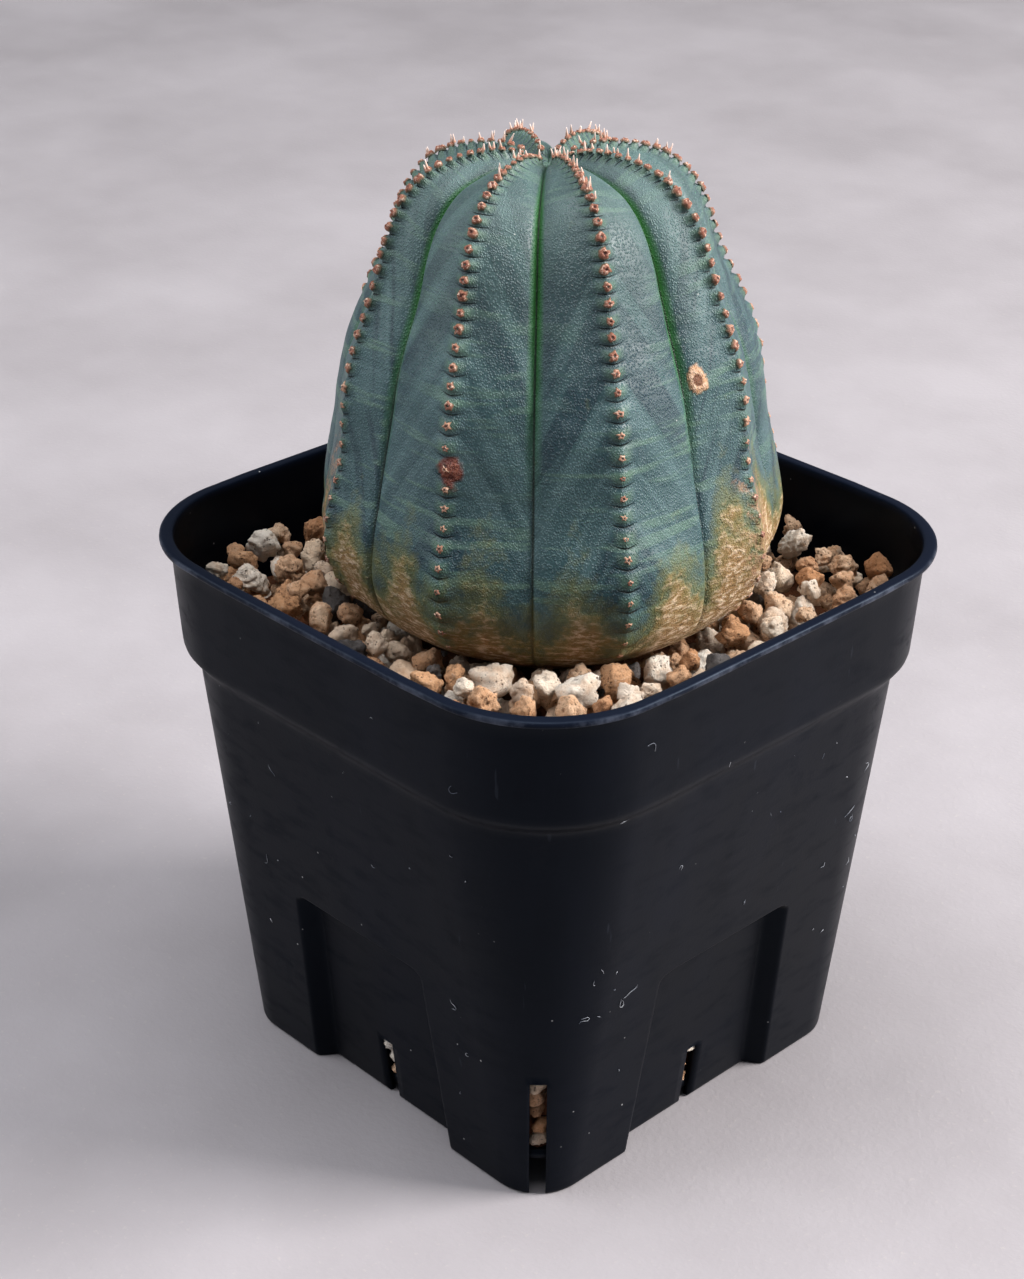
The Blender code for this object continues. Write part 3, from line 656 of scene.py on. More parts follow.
wound = near_spot(-70.0, 103.4 * MM, 1.9 * MM, 2.3 * MM, 0.30, 51)
tan_scar = near_spot(4.5, 112.7 * MM, 1.25 * MM, 2.0 * MM, 0.45, 52)
rust = np.maximum.reduce([near_spot(-121, 88.5 * MM, 4.4 * MM, 8.5 * MM, 0.75, 53),
                          near_spot(21, 88.5 * MM, 4.0 * MM, 8.0 * MM, 0.75, 54),
                          near_spot(118, 86 * MM, 5.0 * MM, 6.0 * MM, 0.75, 55)])


def per_point(values):
    """One value for every grid point of the stem, and the foot's middle point."""
    return np.append(np.broadcast_to(values, r.shape).ravel(), 0.0)


for label, values in (("near_crest", near), ("climb", run[:, None]), ("across", across),
                      ("cork", np.clip(cork, -3, 3)), ("wart_count", wart_count), ("rib", rib),
                      ("wound", wound), ("tan_scar", tan_scar), ("rust", rust)):
    paint(stem, label, per_point(values))

skin, tree, shader = new_finish("euphorbia_skin")
place = object_place()
near_crest, climb, sideways = painted("near_crest"), painted("climb"), painted("across")
aside = maths("ABSOLUTE", sideways)
rib_number = painted("rib")
along = add("ShaderNodeCombineXYZ", X=sideways, Y=climb, Z=rib_number)
cloud = noise(place, 80.0, 4.0)
mottle = noise(place, 380.0, 4.0, 0.6)
pebble = add("ShaderNodeTexVoronoi", Vector=add("ShaderNodeMapping", Vector=place, Scale=(1.0, 1.0, 0.72)),
             Scale=3900.0, Randomness=0.95)
pebble_top = ramp(pebble, 0.55, 0.08)
glint = times(ramp(noise(place, 1400.0, 2.0), 0.50, 0.64), pebble_top)
# chevrons: dark bands that run steeply down and away from the crest
slant = plus(climb, times(aside, 1.7))
steep = add("ShaderNodeCombineXYZ", X=slant, Y=times(rib_number, 0.37),
            Z=times(climb, 0.12))
chevron = noise(steep, 210.0, 2.0, 0.5)
broad_chevron = noise(steep, 75.0, 1.0, 0.5)
bands = noise(add("ShaderNodeMapping", Vector=along, Scale=(0.10, 1.0, 0.004)), 620.0, 2.0, 0.5)
band_place = ramp(noise(place, 60.0, 2.0), 0.40, 0.56)
body = blend(ramp(cloud, 0.34, 0.66), (0.028, 0.066, 0.073, 1), (0.056, 0.108, 0.112, 1))
body = blend(ramp(broad_chevron, 0.44, 0.60, 0.0, 0.65), body, (0.020, 0.048, 0.056, 1))
body = blend(ramp(chevron, 0.51, 0.59, 0.0, 0.80), body, (0.010, 0.028, 0.040, 1))
body = blend(ramp(chevron, 0.43, 0.35, 0.0, 0.34), body, (0.105, 0.175, 0.180, 1))
pale_band = times(ramp(bands, 0.54, 0.62, 0.0, 0.55), band_place)
body = blend(pale_band, body, (0.115, 0.195, 0.140, 1))
body = blend(ramp(mottle, 0.48, 0.72, 0.0, 0.28), body, (0.100, 0.160, 0.165, 1))
shoulder = ramp(climb, 0.060, 0.085)
body = blend(times(shoulder, 0.40), body, (0.115, 0.170, 0.150, 1))
body = blend(times(glint, 0.30), body, (0.170, 0.245, 0.260, 1))
# painted shade: darker skin in the gaps between the pebble tops
body = blend(ramp(pebble, 0.42, 0.80, 0.0, 0.45), body, (0.018, 0.044, 0.048, 1))
groove = ramp(near_crest, 0.125, 0.02)
fresh = times(groove, ramp(climb, 0.045, 0.072, 0.0, 0.9))
fresh = times(fresh, ramp(climb, 0.100, 0.086, 0.25, 1.0))
body = blend(fresh, body, (0.030, 0.165, 0.022, 1))
# painted shade: a near black line down the bottom of every furrow's crease
body = blend(ramp(near_crest, 0.026, 0.004, 0.0, 0.94), body, (0.003, 0.010, 0.006, 1))
# warts: paler green round each, and a painted shadow, a thin dark crescent in the notch under each
curve = times(times(aside, aside), -42000.0)
cycle = plus(plus(painted("wart_count"), 40.5), curve)
cycle = maths("FRACT", cycle)
shadowed_notch = ramp(maths("ABSOLUTE", maths("SUBTRACT", cycle, 0.03)), 0.065, 0.015)
shadowed_notch = times(shadowed_notch, ramp(aside, 0.0017, 0.0005))
halo = ramp(maths("ABSOLUTE", maths("SUBTRACT", cycle, 0.5)), 0.38, 0.16)
halo = times(halo, ramp(aside, 0.0017, 0.0008))
body = blend(times(halo, 0.45), body, (0.075, 0.135, 0.075, 1))
# painted shadow in the notch under every wart
body = blend(times(shadowed_notch, 0.88), body, (0.003, 0.008, 0.008, 1))
# corky foot: olive, then brown, then cracked gold
frayed = times(maths("SUBTRACT", noise(place, 230.0, 6.0, 0.7), 0.5), 6.5)
edge = plus(painted("cork"), frayed)
body = blend(ramp(edge, -2.0, 0.3, 0.0, 0.9), body, (0.135, 0.130, 0.030, 1))
body = blend(ramp(edge, -0.4, 1.5, 0.0, 0.94), body, (0.330, 0.185, 0.070, 1))
cracks = noise(add("ShaderNodeMapping", Vector=along, Scale=(0.42, 1.0, 1.0)), 1300.0, 6.0, 0.75)
flakes = times(ramp(edge, -0.6, 2.4), ramp(cracks, 0.49, 0.585))
body = blend(times(flakes, 0.92), body, (0.88, 0.68, 0.49, 1))
gaps = times(ramp(edge, 0.2, 1.6), ramp(cracks, 0.44, 0.36, 0.0, 0.7))
body = blend(gaps, body, (0.040, 0.022, 0.010, 1))
# rusty patches, the dried tan scar and the dark wound
fleck = noise(place, 900.0, 5.0, 0.7)
rusty = times(ramp(painted("rust"), 0.0, 0.35), ramp(fleck, 0.40, 0.60))
body = blend(times(rusty, 0.8), body, (0.36, 0.195, 0.11, 1))
scarred = painted("tan_scar")
body = blend(ramp(scarred, 0.02, 0.22), body, (0.44, 0.235, 0.12, 1))
flecked = times(ramp(scarred, 0.1, 0.4), ramp(fleck, 0.45, 0.6))
body = blend(flecked, body, (0.62, 0.43, 0.30, 1))
body = blend(ramp(scarred, 0.66, 0.82), body, (0.16, 0.06, 0.025, 1))
wounded = painted("wound")
body = blend(ramp(wounded, 0.02, 0.30), body, (0.110, 0.022, 0.012, 1))
flecked = times(ramp(wounded, 0.25, 0.5), ramp(fleck, 0.42, 0.62))
body = blend(flecked, body, (0.31, 0.105, 0.06, 1))
# stray pale specks
dust = ramp(add("ShaderNodeTexVoronoi", Vector=place, Scale=420.0, Randomness=1.0), 0.065, 0.03)
dust = times(dust, ramp(noise(place, 300.0, 2.0), 0.55, 0.62))
body = blend(times(dust, 0.7), body, (0.60, 0.60, 0.56, 1))
rough = ramp(cloud, 0.3, 0.7, 0.42, 0.54)
rough = plus(rough, ramp(edge, -0.5, 1.0, 0.0, 0.26))
bumps = relief(pebble_top, 0.00009, 0.9)
bumps = relief(mottle, 0.00022, 0.6, over=bumps)
bumps = relief(bands, 0.00030, 0.35, over=bumps)
bumps = relief(chevron, 0.00035, 0.35, over=bumps)
bumps = relief(maths("SUBTRACT", 1.0, shadowed_notch), 0.0003, 0.8, over=bumps)
bumps = relief(times(cracks, ramp(edge, -0.6, 0.8)), 0.0006, 1.0, over=bumps)
spots = plus(ramp(scarred, 0.0, 0.4), ramp(wounded, 0.0, 0.4))
bumps = relief(times(fleck, spots), 0.0007, 0.9, over=bumps)
connect(body, rough, bumps)
shader.inputs["Specular IOR Level"].default_value = 0.38
shader.inputs["Subsurface Weight"].default_value = 0.05
shader.inputs["Subsurface Radius"].default_value = (0.4, 1.0, 0.3)
shader.inputs["Subsurface Scale"].default_value = 0.0012
stem.data.materials.append(skin)
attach(stem, "root")
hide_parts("stem")

# ------------------------------------------------------------------ wart scars
# Dried corky stubs of old flower stalks, one star on top of every wart, bigger
# and rounder towards the shoulder, small again in the crown, grown to the skin.


def crest_point(k, at, lift=0.0):
    """Points on a rib's crest at arc lengths, with the same formula as the stem's
    surface, and the outward and upward directions there."""
    cr, cz = np.interp(at, run, crest_r), np.interp(at, run, crest_z)
    dr, dz = np.interp(at, run, slope[0]), np.interp(at, run, slope[1])
    size = np.hypot(dr, dz)
    dr, dz = dr / size, dz / size
    a = CREST_DIRECTIONS[k]
    heading = np.array([math.cos(a), math.sin(a)])
    own = lattice_noise(at / (16 * MM), np.full_like(at, 3.7 * k + 0.3), 15, 2)
    swell = lattice_noise(at / (11 * MM), np.full_like(at, 2.6 * CREST_DIRECTIONS[k]), 5, 3)
    crown = np.clip(cr / (9 * MM), 0, 1)
    high = eased((cz - 80 * MM) / (40 * MM)) * crown * 0.30 * MM
    high = high + cr * crown * (0.012 * own + 0.009 * swell)
    tall = wart_height(cz)
    reach, rise = cr + high + belly(a, cz) + (tall + lift) * dz, cz - (tall + lift) * dr
    rise = rise - crown_tilt(a, cr, cz)
    point = np.stack([AXIS_X + LEAN_X * (cz - AXIS_Z) + heading[0] * reach,
                      AXIS_Y + LEAN_Y * (cz - AXIS_Z) + heading[1] * reach, rise], axis=-1)
    outward = np.stack([heading[0] * dz, heading[1] * dz, -dr], axis=-1)
    upward = np.stack([heading[0] * dr, heading[1] * dr, dz], axis=-1)
    return point, outward, upward


def rosettes(points, outward, upward, radius, pointed, seed):
    """Lumpy five-armed discs: radius times one plus a cosine of five turns, rim
    level, shoulder raised, middle sunk; rows x spokes grid on each, all at once."""
    rng = np.random.default_rng(seed)
    spokes, count = 15, len(points)
    phi = np.arange(spokes) * 2 * math.pi / spokes
    rings = np.array([(1.25, -0.55), (1.0, 0.05), (0.72, 0.42), (0.40, 0.38), (0.16, 0.12)])
    start = rng.uniform(0, 2 * math.pi, (count, 1))
    arms = 1.0 + pointed[:, None] * rng.uniform(0.7, 1.3, (count, 1)) * np.cos(5 * phi[None, :] + start)
    arms = arms * (1.0 + 0.13 * rng.normal(size=(count, spokes)))
    flat = rings[None, :, None, 0] * arms[:, None, :]
    high = rings[None, :, None, 1] * (1.0 + 0.25 * rng.normal(size=(count, 1, spokes)))
    side = np.cross(upward, outward)
    x = (flat * np.cos(phi))[..., None] * side[:, None, None, :]
    y = (flat * np.sin(phi))[..., None] * upward[:, None, None, :]
    h = high[..., None] * outward[:, None, None, :]
    body = points[:, None, None, :] + radius[:, None, None, None] * (x + y + h)
    middle = points + outward * radius[:, None] * 0.10
    verts = np.concatenate([body.reshape(count, -1, 3), middle[:, None, :]], axis=1)
    size = verts.shape[1]
    ring = np.arange(spokes) + (len(rings) - 1) * spokes
    fan = np.stack([ring, np.roll(ring, -1), np.full(spokes, size - 1)], axis=1)
    inwards = np.concatenate([np.repeat(np.linspace(0, 0.8, len(rings)), spokes), [1.0]])
    return (*copies(verts, grid_quads(len(rings), spokes), fan),
            np.tile(inwards, count), np.repeat(rng.uniform(size=count), size))


stubs = []
for k in range(RIBS):
    rng = np.random.default_rng(90 + k)
    cz = np.interp(WARTS[k], run, crest_z)
    reach = np.interp(WARTS[k], run, crest_r)
    wide = 0.42 + 0.14 * eased((cz - 100 * MM) / (22 * MM)) - 0.16 * eased((16 * MM - reach) / (6 * MM))
    wide = wide * rng.uniform(0.82, 1.18, len(cz)) * MM
    stubs.append((*crest_point(k, WARTS[k], -0.12 * MM), wide, WARTS[k] / run[-1]))
points, outs, ups, sizes, heights = (np.concatenate(part) for part in zip(*stubs))
pointed = 0.30 - 0.22 * eased((heights - 0.50) / 0.16)
verts, quads, fans, middle, tint = rosettes(points, outs, ups, sizes, pointed, 21)
scars = mesh_piece("stalk_scars", verts, quads, fans)
paint(scars, "middle", middle)
paint(scars, "tint", tint)
paint(scars, "climb", np.repeat(heights, len(verts) // len(heights)))

scar, tree, shader = new_finish("dried_stalk_cork")
place = object_place()
grain = noise(place, 2600.0, 4.0, 0.65)
tone = blend(painted("tint"), (0.24, 0.085, 0.050, 1), (0.46, 0.25, 0.16, 1))
tone = blend(ramp(painted("climb"), 0.50, 0.66, 0.0, 0.85), tone, (0.20, 0.058, 0.028, 1))
tone = blend(ramp(grain, 0.53, 0.63, 0.0, 0.75), tone, (0.74, 0.55, 0.43, 1))
tone = blend(ramp(painted("middle"), 0.45, 0.80, 0.0, 0.92), tone, (0.070, 0.014, 0.010, 1))
tone = blend(ramp(painted("middle"), 0.24, 0.04, 0.0, 0.9), tone, (0.040, 0.050, 0.024, 1))
connect(tone, ramp(grain, 0.3, 0.7, 0.6, 0.85), relief(grain, 0.0002, 0.8))
scars.data.materials.append(scar)
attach(scars, "root")

# ------------------------------------------------------------------ stalk tips
# Thin papery ends of last year's flower stalks, still standing on the youngest
# warts round the crown.


def spikes(points, outward, upward, seed):
    """Five-sided tapering horns: rings along a curved path that bends upwards,
    radius shrinking to a point; several copies at once."""
    rng = np.random.default_rng(seed)
    count, sides = len(points), 5
    t = np.array([0.0, 0.35, 0.7, 1.0])
    tall = rng.uniform(0.35, 1.05, (count, 1)) * MM
    bend = rng.normal(size=(count, 2)) * 0.35
    side = np.cross(upward, outward)
    aim = outward + side * bend[:, :1] + upward * bend[:, 1:]
    aim = aim + np.array([0, 0, 0.5])
    aim /= np.linalg.norm(aim, axis=1, keepdims=True)
    path = points[:, None, :] + aim[:, None, :] * (tall * t[None, :])[..., None]
    path[..., 2] += 0.25 * MM * t ** 2
    thick = 0.24 * MM * (1.0 - 0.72 * t)
    phi = np.arange(sides) * 2 * math.pi / sides
    ring = (np.cos(phi)[:, None] * side[:, None, None, :] + np.sin(phi)[:, None] * upward[:, None, None, :])
    verts = path[:, :, None, :] + ring * thick[None, :, None, None]
    verts = verts.reshape(count, -1, 3)
    tip = path[:, -1] + aim * 0.08 * MM
    verts = np.concatenate([verts, tip[:, None]], axis=1)
    size = verts.shape[1]
    last = np.arange(sides) + (len(t) - 1) * sides
    fan = np.stack([last, np.roll(last, -1), np.full(sides, size - 1)], axis=1)
    along = np.concatenate([np.repeat(t, sides), [1.0]])
    return (*copies(verts, grid_quads(len(t), sides), fan), np.tile(along, count))


young = np.flatnonzero(heights > 0.82)
rng = np.random.default_rng(3)
young = np.repeat(young, rng.integers(0, 3, len(young)))
offset = rng.normal(size=(len(young), 2)) * 0.28 * MM
side = np.cross(ups[young], outs[young])
start = points[young] + side * offset[:, :1] + ups[young] * offset[:, 1:] + outs[young] * 0.1 * MM
verts, quads, fans, along_tip = spikes(start, outs[young], ups[young], 12)
tips = mesh_piece("stalk_tips", verts, quads, fans)
paint(tips, "along_tip", along_tip)
papery, tree, shader = new_finish("papery_stalk_tip")
place = object_place()
grain = noise(place, 1800.0, 3.0)
tone = blend(painted("along_tip"), (0.40, 0.17, 0.09, 1), (0.78, 0.66, 0.60, 1))
tone = blend(ramp(grain, 0.4, 0.65, 0.0, 0.4), tone, (0.55, 0.28, 0.18, 1))
connect(tone, ramp(grain, 0.3, 0.7, 0.55, 0.8), relief(grain, 0.0001, 0.6))
tips.data.materials.append(papery)
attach(tips, "root")

# ------------------------------------------------------------------ gravel
# Coarse free-draining mix poured round the root: fired clay, pale pumice and a
# little dark lava, 3 to 7 mm.  Grains settle on one another; the loose ones on
# top are the separate CAD grains, each where its node lies.


def inside_reach(x, y, half, radius):
    """Distance from a point to the rounded-square wall, positive inside."""
    qx, qy = abs(x) - (half - radius), abs(y) - (half - radius)
    outside = np.hypot(np.maximum(qx, 0), np.maximum(qy, 0))
    return radius - outside - np.minimum(np.maximum(qx, qy), 0)


# rows of the stem's profile from its foot on, all of them climbing
BARREL_ROWS = 200


def stem_reach(z):
    """Distance from the stem's axis to the plain crest line at a height."""
    return np.interp(z, crest_z[:BARREL_ROWS], crest_r[:BARREL_ROWS])


def settle(rng, sizes, placed, floor_z, ceiling, tries):
    """Drops spheres one after another; each takes, from several random places
    inside the wall and clear of the stem, the lowest rest on the floor or on
    grains already down, unless it would stand above the ceiling."""
    for radius in sizes:
        xy = rng.uniform(-41 * MM, 41 * MM, (tries, 2))
        room = inside_reach(xy[:, 0], xy[:, 1], 41.6 * MM, 18 * MM) > radius * 0.92
        xy = xy[room]
        known = np.array(placed)
        d = np.hypot(xy[:, None, 0] - known[None, :, 0], xy[:, None, 1] - known[None, :, 1])
        touch = (known[None, :, 3] + radius) * 0.93
        above = np.sqrt(np.clip(touch ** 2 - d ** 2, 0, None))
        rest = np.where(d < touch, known[None, :, 2] + above, floor_z)
        z = np.maximum(rest.max(axis=1), floor_z)
        axis = np.hypot(xy[:, 0] - AXIS_X, xy[:, 1] - AXIS_Y)
        around = np.arctan2(xy[:, 1] - AXIS_Y, xy[:, 0] - AXIS_X)
        clear = axis > stem_reach(z + radius * 0.5) * 0.985 + belly(around, z) + radius * 0.78
        xy, z = xy[clear], z[clear]
        if len(z) == 0:
            continue
        best = int(z.argmin())
        if z[best] + radius < ceiling:
            placed.append((xy[best, 0], xy[best, 1], z[best], radius))
    return placed


rng = np.random.default_rng(77)
BED_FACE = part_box("gravel_bed")[1][2]
grain_nodes = sorted(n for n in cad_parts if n.endswith(tuple("0123456789")) and "grain" in n)
cad_grains = []
for node in grain_nodes:
    low, high = (np.array(v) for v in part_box(node))
    cad_grains.append((*((low + high) / 2), (high - low).mean() / 2))
under = [(200 * MM, 0.0, 0.0, 1 * MM)]
under = settle(rng, rng.uniform(1.7, 2.9, 260) * MM, under, BED_FACE - 5.2 * MM, BED_FACE + 1.2 * MM, 60)[1:]
filling = settle(rng, rng.uniform(1.5, 3.1, 420) * MM, cad_grains + under,
                 BED_FACE - 1.0 * MM, BED_FACE + 5.6 * MM, 90)[len(cad_grains) + len(under):]


def cube_sphere(steps):
    """Unit directions and quads of a cube of steps x steps faces blown up to a
    sphere, shared points merged."""
    a = np.linspace(-1, 1, steps + 1)
    a = np.tan(a * math.pi / 4)
    u, v = np.meshgrid(a, a, indexing="ij")
    one = np.ones_like(u)
    faces = [(u, v, one), (v, u, -one), (one, u, v), (-one, v, u), (v, one, u), (u, -one, v)]
    points = np.concatenate([np.stack(f, axis=-1).reshape(-1, 3) for f in faces])
    quads = np.concatenate([grid_quads(steps + 1, steps + 1, wrap_columns=False)
                            + k * (steps + 1) ** 2 for k in range(6)])
    key = np.round(points * 1e4).astype(np.int64)
    _, first, back = np.unique(key, axis=0, return_index=True, return_inverse=True)
    points = points[first]
    points /= np.linalg.norm(points, axis=1, keepdims=True)
    return points, back.ravel()[quads]


PLANES, WAVES, PITS = 11, 12, 5


def gravel(places, steps, seed, kind_of=None):
    """Many stones at once: every stone is the soft smallest of eleven tilted
    planes around its middle, times one plus twelve sine waves and minus five
    bell-shaped pits, stretched and turned."""
    rng = np.random.default_rng(seed)
    directions, quads = cube_sphere(steps)
    places = np.array(places)
    count = len(places)
    normals = rng.normal(size=(count, PLANES, 3))
    normals /= np.linalg.norm(normals, axis=2, keepdims=True)
    offsets = rng.uniform(0.66, 1.05, (count, PLANES, 1))
    facing = np.clip(np.einsum("gkc,vc->gkv", normals, directions), 0.0, None) / offsets
    sharp = 17.0
    reach = 1.0 / (np.power(facing, sharp).sum(axis=1) + 0.25) ** (1 / sharp)
    waves = rng.normal(size=(count, WAVES, 3)) * np.repeat([2.4, 6.0, 11.0], WAVES // 3)[None, :, None]
    phase = rng.uniform(0, 2 * math.pi, (count, WAVES, 1))
    lumps = np.sin(np.einsum("gkc,vc->gkv", waves, directions) + phase)
    weight = np.repeat([0.062, 0.046, 0.030], WAVES // 3)[None, :, None]
    reach = reach * (1.0 + (lumps * weight).sum(axis=1))
    pits = rng.normal(size=(count, PITS, 3))
    pits /= np.linalg.norm(pits, axis=2, keepdims=True)
    hollow = np.exp((np.einsum("gkc,vc->gkv", pits, directions) - 1.0) / 0.035)
    reach = reach * (1.0 - (hollow * rng.uniform(0.02, 0.16, (count, PITS, 1))).sum(axis=1))
    body = directions[None] * reach[..., None]
    body = body * rng.uniform(0.80, 1.16, (count, 1, 3))
    q = rng.normal(size=(count, 4))
    q /= np.linalg.norm(q, axis=1, keepdims=True)
    w, x, y, z = q.T
    turn = np.stack([
        np.stack([1 - 2 * (y * y + z * z), 2 * (x * y - z * w), 2 * (x * z + y * w)], axis=-1),
        np.stack([2 * (x * y + z * w), 1 - 2 * (x * x + z * z), 2 * (y * z - x * w)], axis=-1),
        np.stack([2 * (x * z - y * w), 2 * (y * z + x * w), 1 - 2 * (x * x + y * y)], axis=-1)], axis=1)
    body = np.einsum("gij,gvj->gvi", turn, body)
    body = body / np.abs(body).max(axis=(1, 2), keepdims=True)
    size = places[:, 3][:, None, None] * rng.uniform(1.02, 1.16, (count, 1, 1))
    verts = places[:, None, :3] + body * size
    all_quads = quads[None] + (np.arange(count) * len(directions))[:, None, None]
    each = len(directions)
    if kind_of is None:
        kind_of = rng.choice([0.0, 0.5, 1.0], size=count, p=[0.56, 0.37, 0.07])
    return (verts.reshape(-1, 3), all_quads.reshape(-1, 4), np.repeat(kind_of, each),
            np.repeat(rng.uniform(size=count), each), np.repeat(rng.uniform(size=count), each))


mineral, tree, shader = new_finish("porous_gravel")
place = object_place()
# kind: 0 clay, 0.5 pumice, 1 lava; a lot over 0.6 is dingier, and 3 is the imported mass, darkened as
# painted shade under the loose stones
kind, tint, lot = painted("kind"), painted("tint"), painted("lot")
cloud = noise(place, 330.0, 5.0, 0.65)
pores = noise(place, 1250.0, 7.0, 0.78)
pits = add("ShaderNodeTexVoronoi", Vector=place, Scale=1500.0, Randomness=1.0)
pit_place = ramp(noise(place, 700.0, 2.0), 0.47, 0.56)
pit = times(ramp(pits, 0.30, 0.12), pit_place)
clay = blend(tint, (0.62, 0.315, 0.150, 1), (0.93, 0.665, 0.46, 1))
clay = blend(ramp(cloud, 0.45, 0.62, 0.0, 0.7), clay, (0.68, 0.350, 0.175, 1))
clay = blend(ramp(pores, 0.56, 0.70, 0.0, 0.6), clay, (0.94, 0.74, 0.57, 1))
clay = blend(ramp(pores, 0.47, 0.37, 0.0, 0.85), clay, (0.20, 0.080, 0.032, 1))
pale = blend(tint, (0.92, 0.71, 0.52, 1), (0.95, 0.87, 0.77, 1))
pale = blend(ramp(cloud, 0.47, 0.66, 0.0, 0.65), pale, (0.80, 0.52, 0.32, 1))
pale = blend(ramp(pores, 0.45, 0.33, 0.0, 0.45), pale, (0.60, 0.44, 0.32, 1))
dark = blend(tint, (0.060, 0.052, 0.050, 1), (0.22, 0.20, 0.195, 1))
dark = blend(ramp(pores, 0.5, 0.7, 0.0, 0.4), dark, (0.32, 0.29, 0.27, 1))
tone = blend(ramp(kind, 0.2, 0.3), clay, pale)
tone = blend(ramp(kind, 0.7, 0.8), tone, dark)
# painted shade: near black in the hollow of each pit
tone = blend(times(pit, 0.75), tone, (0.090, 0.040, 0.020, 1))
# painted shade: the packed mass between and under the stones is darkened
tone = blend(ramp(lot, 1.5, 2.5), tone, (0.30, 0.22, 0.17, 1), "MULTIPLY")
tone = blend(ramp(lot, 0.6, 1.0, 0.0, 0.7), tone, (0.66, 0.50, 0.38, 1), "MULTIPLY")
bumps = relief(pores, 0.0011, 1.0)
bumps = relief(maths("SUBTRACT", 1.0, pit), 0.0004, 0.9, over=bumps)
connect(tone, ramp(pores, 0.3, 0.7, 0.74, 0.95), bumps)
shader.inputs["Specular IOR Level"].default_value = 0.25


def gravel_piece(name, places, steps, seed, kind_of=None):
    """A piece of many stones, with each stone's kind, tint and lot painted on."""
    verts, quads, *looks = gravel(places, steps, seed, kind_of)
    made = mesh_piece(name, verts, quads)
    for label, values in zip(("kind", "tint", "lot"), looks):
        paint(made, label, values)
    made.data.materials.append(mineral)
    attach(made, "root")
    return made


KINDS = ((31, "clay", 0.0, "fired_clay"), (35, "pumice", 0.5, "pale_pumice"), (36, "lava", 1.0, "dark_lava"))
for seed, word, number, slot_name in KINDS:
    chosen = [i for i, node in enumerate(grain_nodes) if node.startswith(word)]
    loose = gravel_piece(f"{word}_grains", [cad_grains[i] for i in chosen], 12, seed,
                         np.full(len(chosen), number))
    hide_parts(*[grain_nodes[i] for i in chosen])
fill = gravel_piece("surface_gravel", filling, 8, 32)
below = gravel_piece("under_gravel", under, 4, 33)

# the imported mass under the surface, a rough skin just inside the wall, darkened by its lot of 3 as painted
# shade between the stones
MASS_LOW, MASS_IN = 3.6 * MM, 2.4 * MM


def drawn_in(outline, shares):
    """Copies of an outline drawn in towards the axis, one for each share."""
    return outline[None] * np.array([(share, share, 1.0) for share in shares])[:, None, :]


mass_rows = MASS_LOW + (BED_FACE - 4.0 * MM - MASS_LOW) * np.linspace(0.0, 1.0, 30)
mass_half, mass_radius = body_size(mass_rows)
mass_side = pot_outline(mass_half - MASS_IN, np.maximum(mass_radius - MASS_IN, 4 * MM), mass_rows,
                        panel_grow=1.6 * MM)
mass = np.concatenate([drawn_in(mass_side[0], (0.02, 0.4, 0.8)), mass_side,
                       drawn_in(mass_side[-1], (0.9, 0.6, 0.3, 0.02))], axis=0)
unevenness = lattice_noise(mass[..., 0] / (2.1 * MM) + mass[..., 2] / (3.3 * MM),
                           mass[..., 1] / (2.1 * MM) - mass[..., 2] / (2.7 * MM), 4, 3)
mass = mass * (1.0 + np.array([0.018, 0.018, 0.0]) * unevenness[..., None])
mass_inset = np.minimum(abs(mass[..., 0]), abs(mass[..., 1]))
over_pads = MASS_LOW + PAD_LIFT * eased((mass_inset - 15.4 * MM) / PAD_SLOPE)
mass[..., 2] = np.maximum(mass[..., 2], over_pads)
packed = mesh_piece("packed_gravel", mass.reshape(-1, 3), grid_quads(len(mass), mass.shape[1]))
for label, value in (("kind", 0.0), ("tint", 0.0), ("lot", 3.0)):
    paint(packed, label, np.full(mass.shape[:2], value))
packed.data.materials.append(mineral)
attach(packed, "root")
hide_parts("gravel_bed")

# grains showing in the slits, pressed against the inside of the wall
rng = np.random.default_rng(8)
pressed = []


def press(turned, away, height, widest):
    """Adds one grain at a distance from the axis, a little to one side."""
    pressed.append((away * math.cos(turned) - rng.normal() * 0.4 * MM * math.sin(turned),
                    away * math.sin(turned) + rng.normal() * 0.4 * MM * math.cos(turned),
                    height, rng.uniform(1.4, widest) * MM))


for side in range(4):
    for height in np.arange(4.6, 11.5, 2.6) * MM:
        press(side * math.pi / 2, body_size(height)[0] - WALL - PANEL_DEPTH - 0.5 * MM, height, 1.9)
    for height in np.arange(9.4, 22.5, 2.7) * MM:
        wall_half, wall_radius = body_size(height)
        press(side * math.pi / 2 + math.pi / 4,
              math.sqrt(2) * (wall_half - wall_radius) + wall_radius - WALL - 1.5 * MM, height, 2.0)
slit_grains = gravel_piece("slit_gravel", pressed, 5, 34,
                           np.random.default_rng(2).choice([0.0, 0.5], len(pressed), p=[0.45, 0.55]))

# ------------------------------------------------------------------ stage
# A plain pale table, broad soft lamps and a pale room around.

TABLE_HALF = 3.0
corners = np.array([(-1, -1, 0), (1, -1, 0), (1, 1, 0), (-1, 1, 0)])
floor = mesh_piece("table_top", TABLE_HALF * corners, np.array([[0, 1, 2, 3]]))
pale_table, tree, shader = new_finish("pale_table")
place = object_place()
cloud = noise(place, 14.0, 5.0, 0.6)
speck = noise(place, 900.0, 3.0, 0.6)
tone = blend(ramp(cloud, 0.35, 0.65), (0.268, 0.246, 0.256, 1), (0.316, 0.292, 0.305, 1))
tone = blend(ramp(speck, 0.62, 0.72, 0.0, 0.25), tone, (0.40, 0.36, 0.33, 1))
connect(tone, ramp(cloud, 0.3, 0.7, 0.6, 0.75), relief(speck, 0.0002, 0.4))
floor.data.materials.append(pale_table)

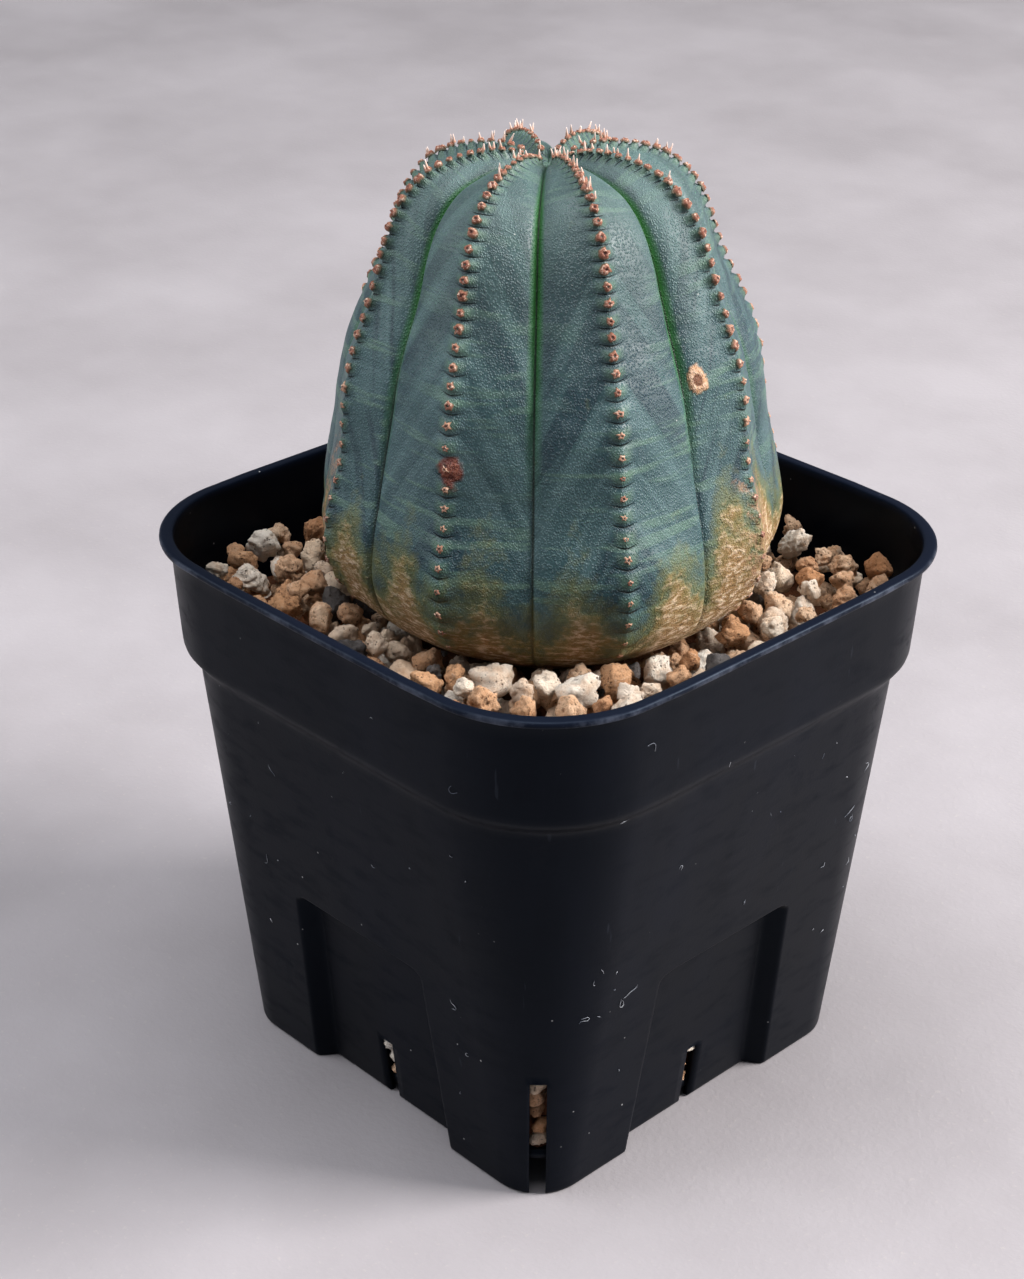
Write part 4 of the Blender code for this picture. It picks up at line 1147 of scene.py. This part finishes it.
room = bpy.data.worlds.new("pale_room")
room.use_nodes = True
room.node_tree.nodes["Background"].inputs["Color"].default_value = (0.80, 0.88, 1.0, 1)
room.node_tree.nodes["Background"].inputs["Strength"].default_value = 0.20
bpy.context.scene.world = room


def lamp(name, place, aim, width, power, colour):
    """A square soft lamp at a place, facing a point."""
    data = bpy.data.lights.new(name, "AREA")
    data.shape, data.size, data.energy, data.color = "SQUARE", width, power, colour
    made = bpy.data.objects.new(name, data)
    made.location = place
    made.rotation_euler = (Vector(aim) - Vector(place)).to_track_quat("-Z", "Y").to_euler()
    bpy.context.scene.collection.objects.link(made)


lamp("key_lamp", (0.76, 0.70, 0.72), (0, 0, 0.07), 0.55, 34.0, (1.0, 0.985, 0.965))
lamp("fill_lamp", (-0.66, -0.70, 0.60), (0, 0, 0.06), 0.7, 7.5, (0.93, 0.96, 1.0))
lamp("top_lamp", (0.0, -0.10, 1.35), (0, 0, 0.1), 0.8, 16.0, (0.97, 0.98, 1.0))

# camera: a short telephoto a little above the plant, turned towards one corner
CAMERA_TURN, CAMERA_RISE, CAMERA_ROLL = (math.radians(a) for a in (46.103, 28.077, 0.377))
CAMERA_AIM = Vector((-0.004055, -0.002979, 0.066262))
CAMERA_AWAY = 0.36737
back = Vector((math.sin(CAMERA_TURN) * math.cos(CAMERA_RISE),
               -math.cos(CAMERA_TURN) * math.cos(CAMERA_RISE), math.sin(CAMERA_RISE)))
right = Vector((0, 0, 1)).cross(back).normalized()
above = back.cross(right)
turned_right = right * math.cos(CAMERA_ROLL) + above * math.sin(CAMERA_ROLL)
turned_above = above * math.cos(CAMERA_ROLL) - right * math.sin(CAMERA_ROLL)
lens = bpy.data.cameras.new("camera")
lens.lens = 70.4851
lens.sensor_width = 36.0
camera = bpy.data.objects.new("camera", lens)
spin = Matrix((turned_right, turned_above, back)).transposed().to_4x4()
camera.matrix_world = Matrix.Translation(CAMERA_AIM + back * CAMERA_AWAY) @ spin
bpy.context.scene.collection.objects.link(camera)
bpy.context.scene.camera = camera
bpy.context.scene.view_settings.view_transform = "Standard"
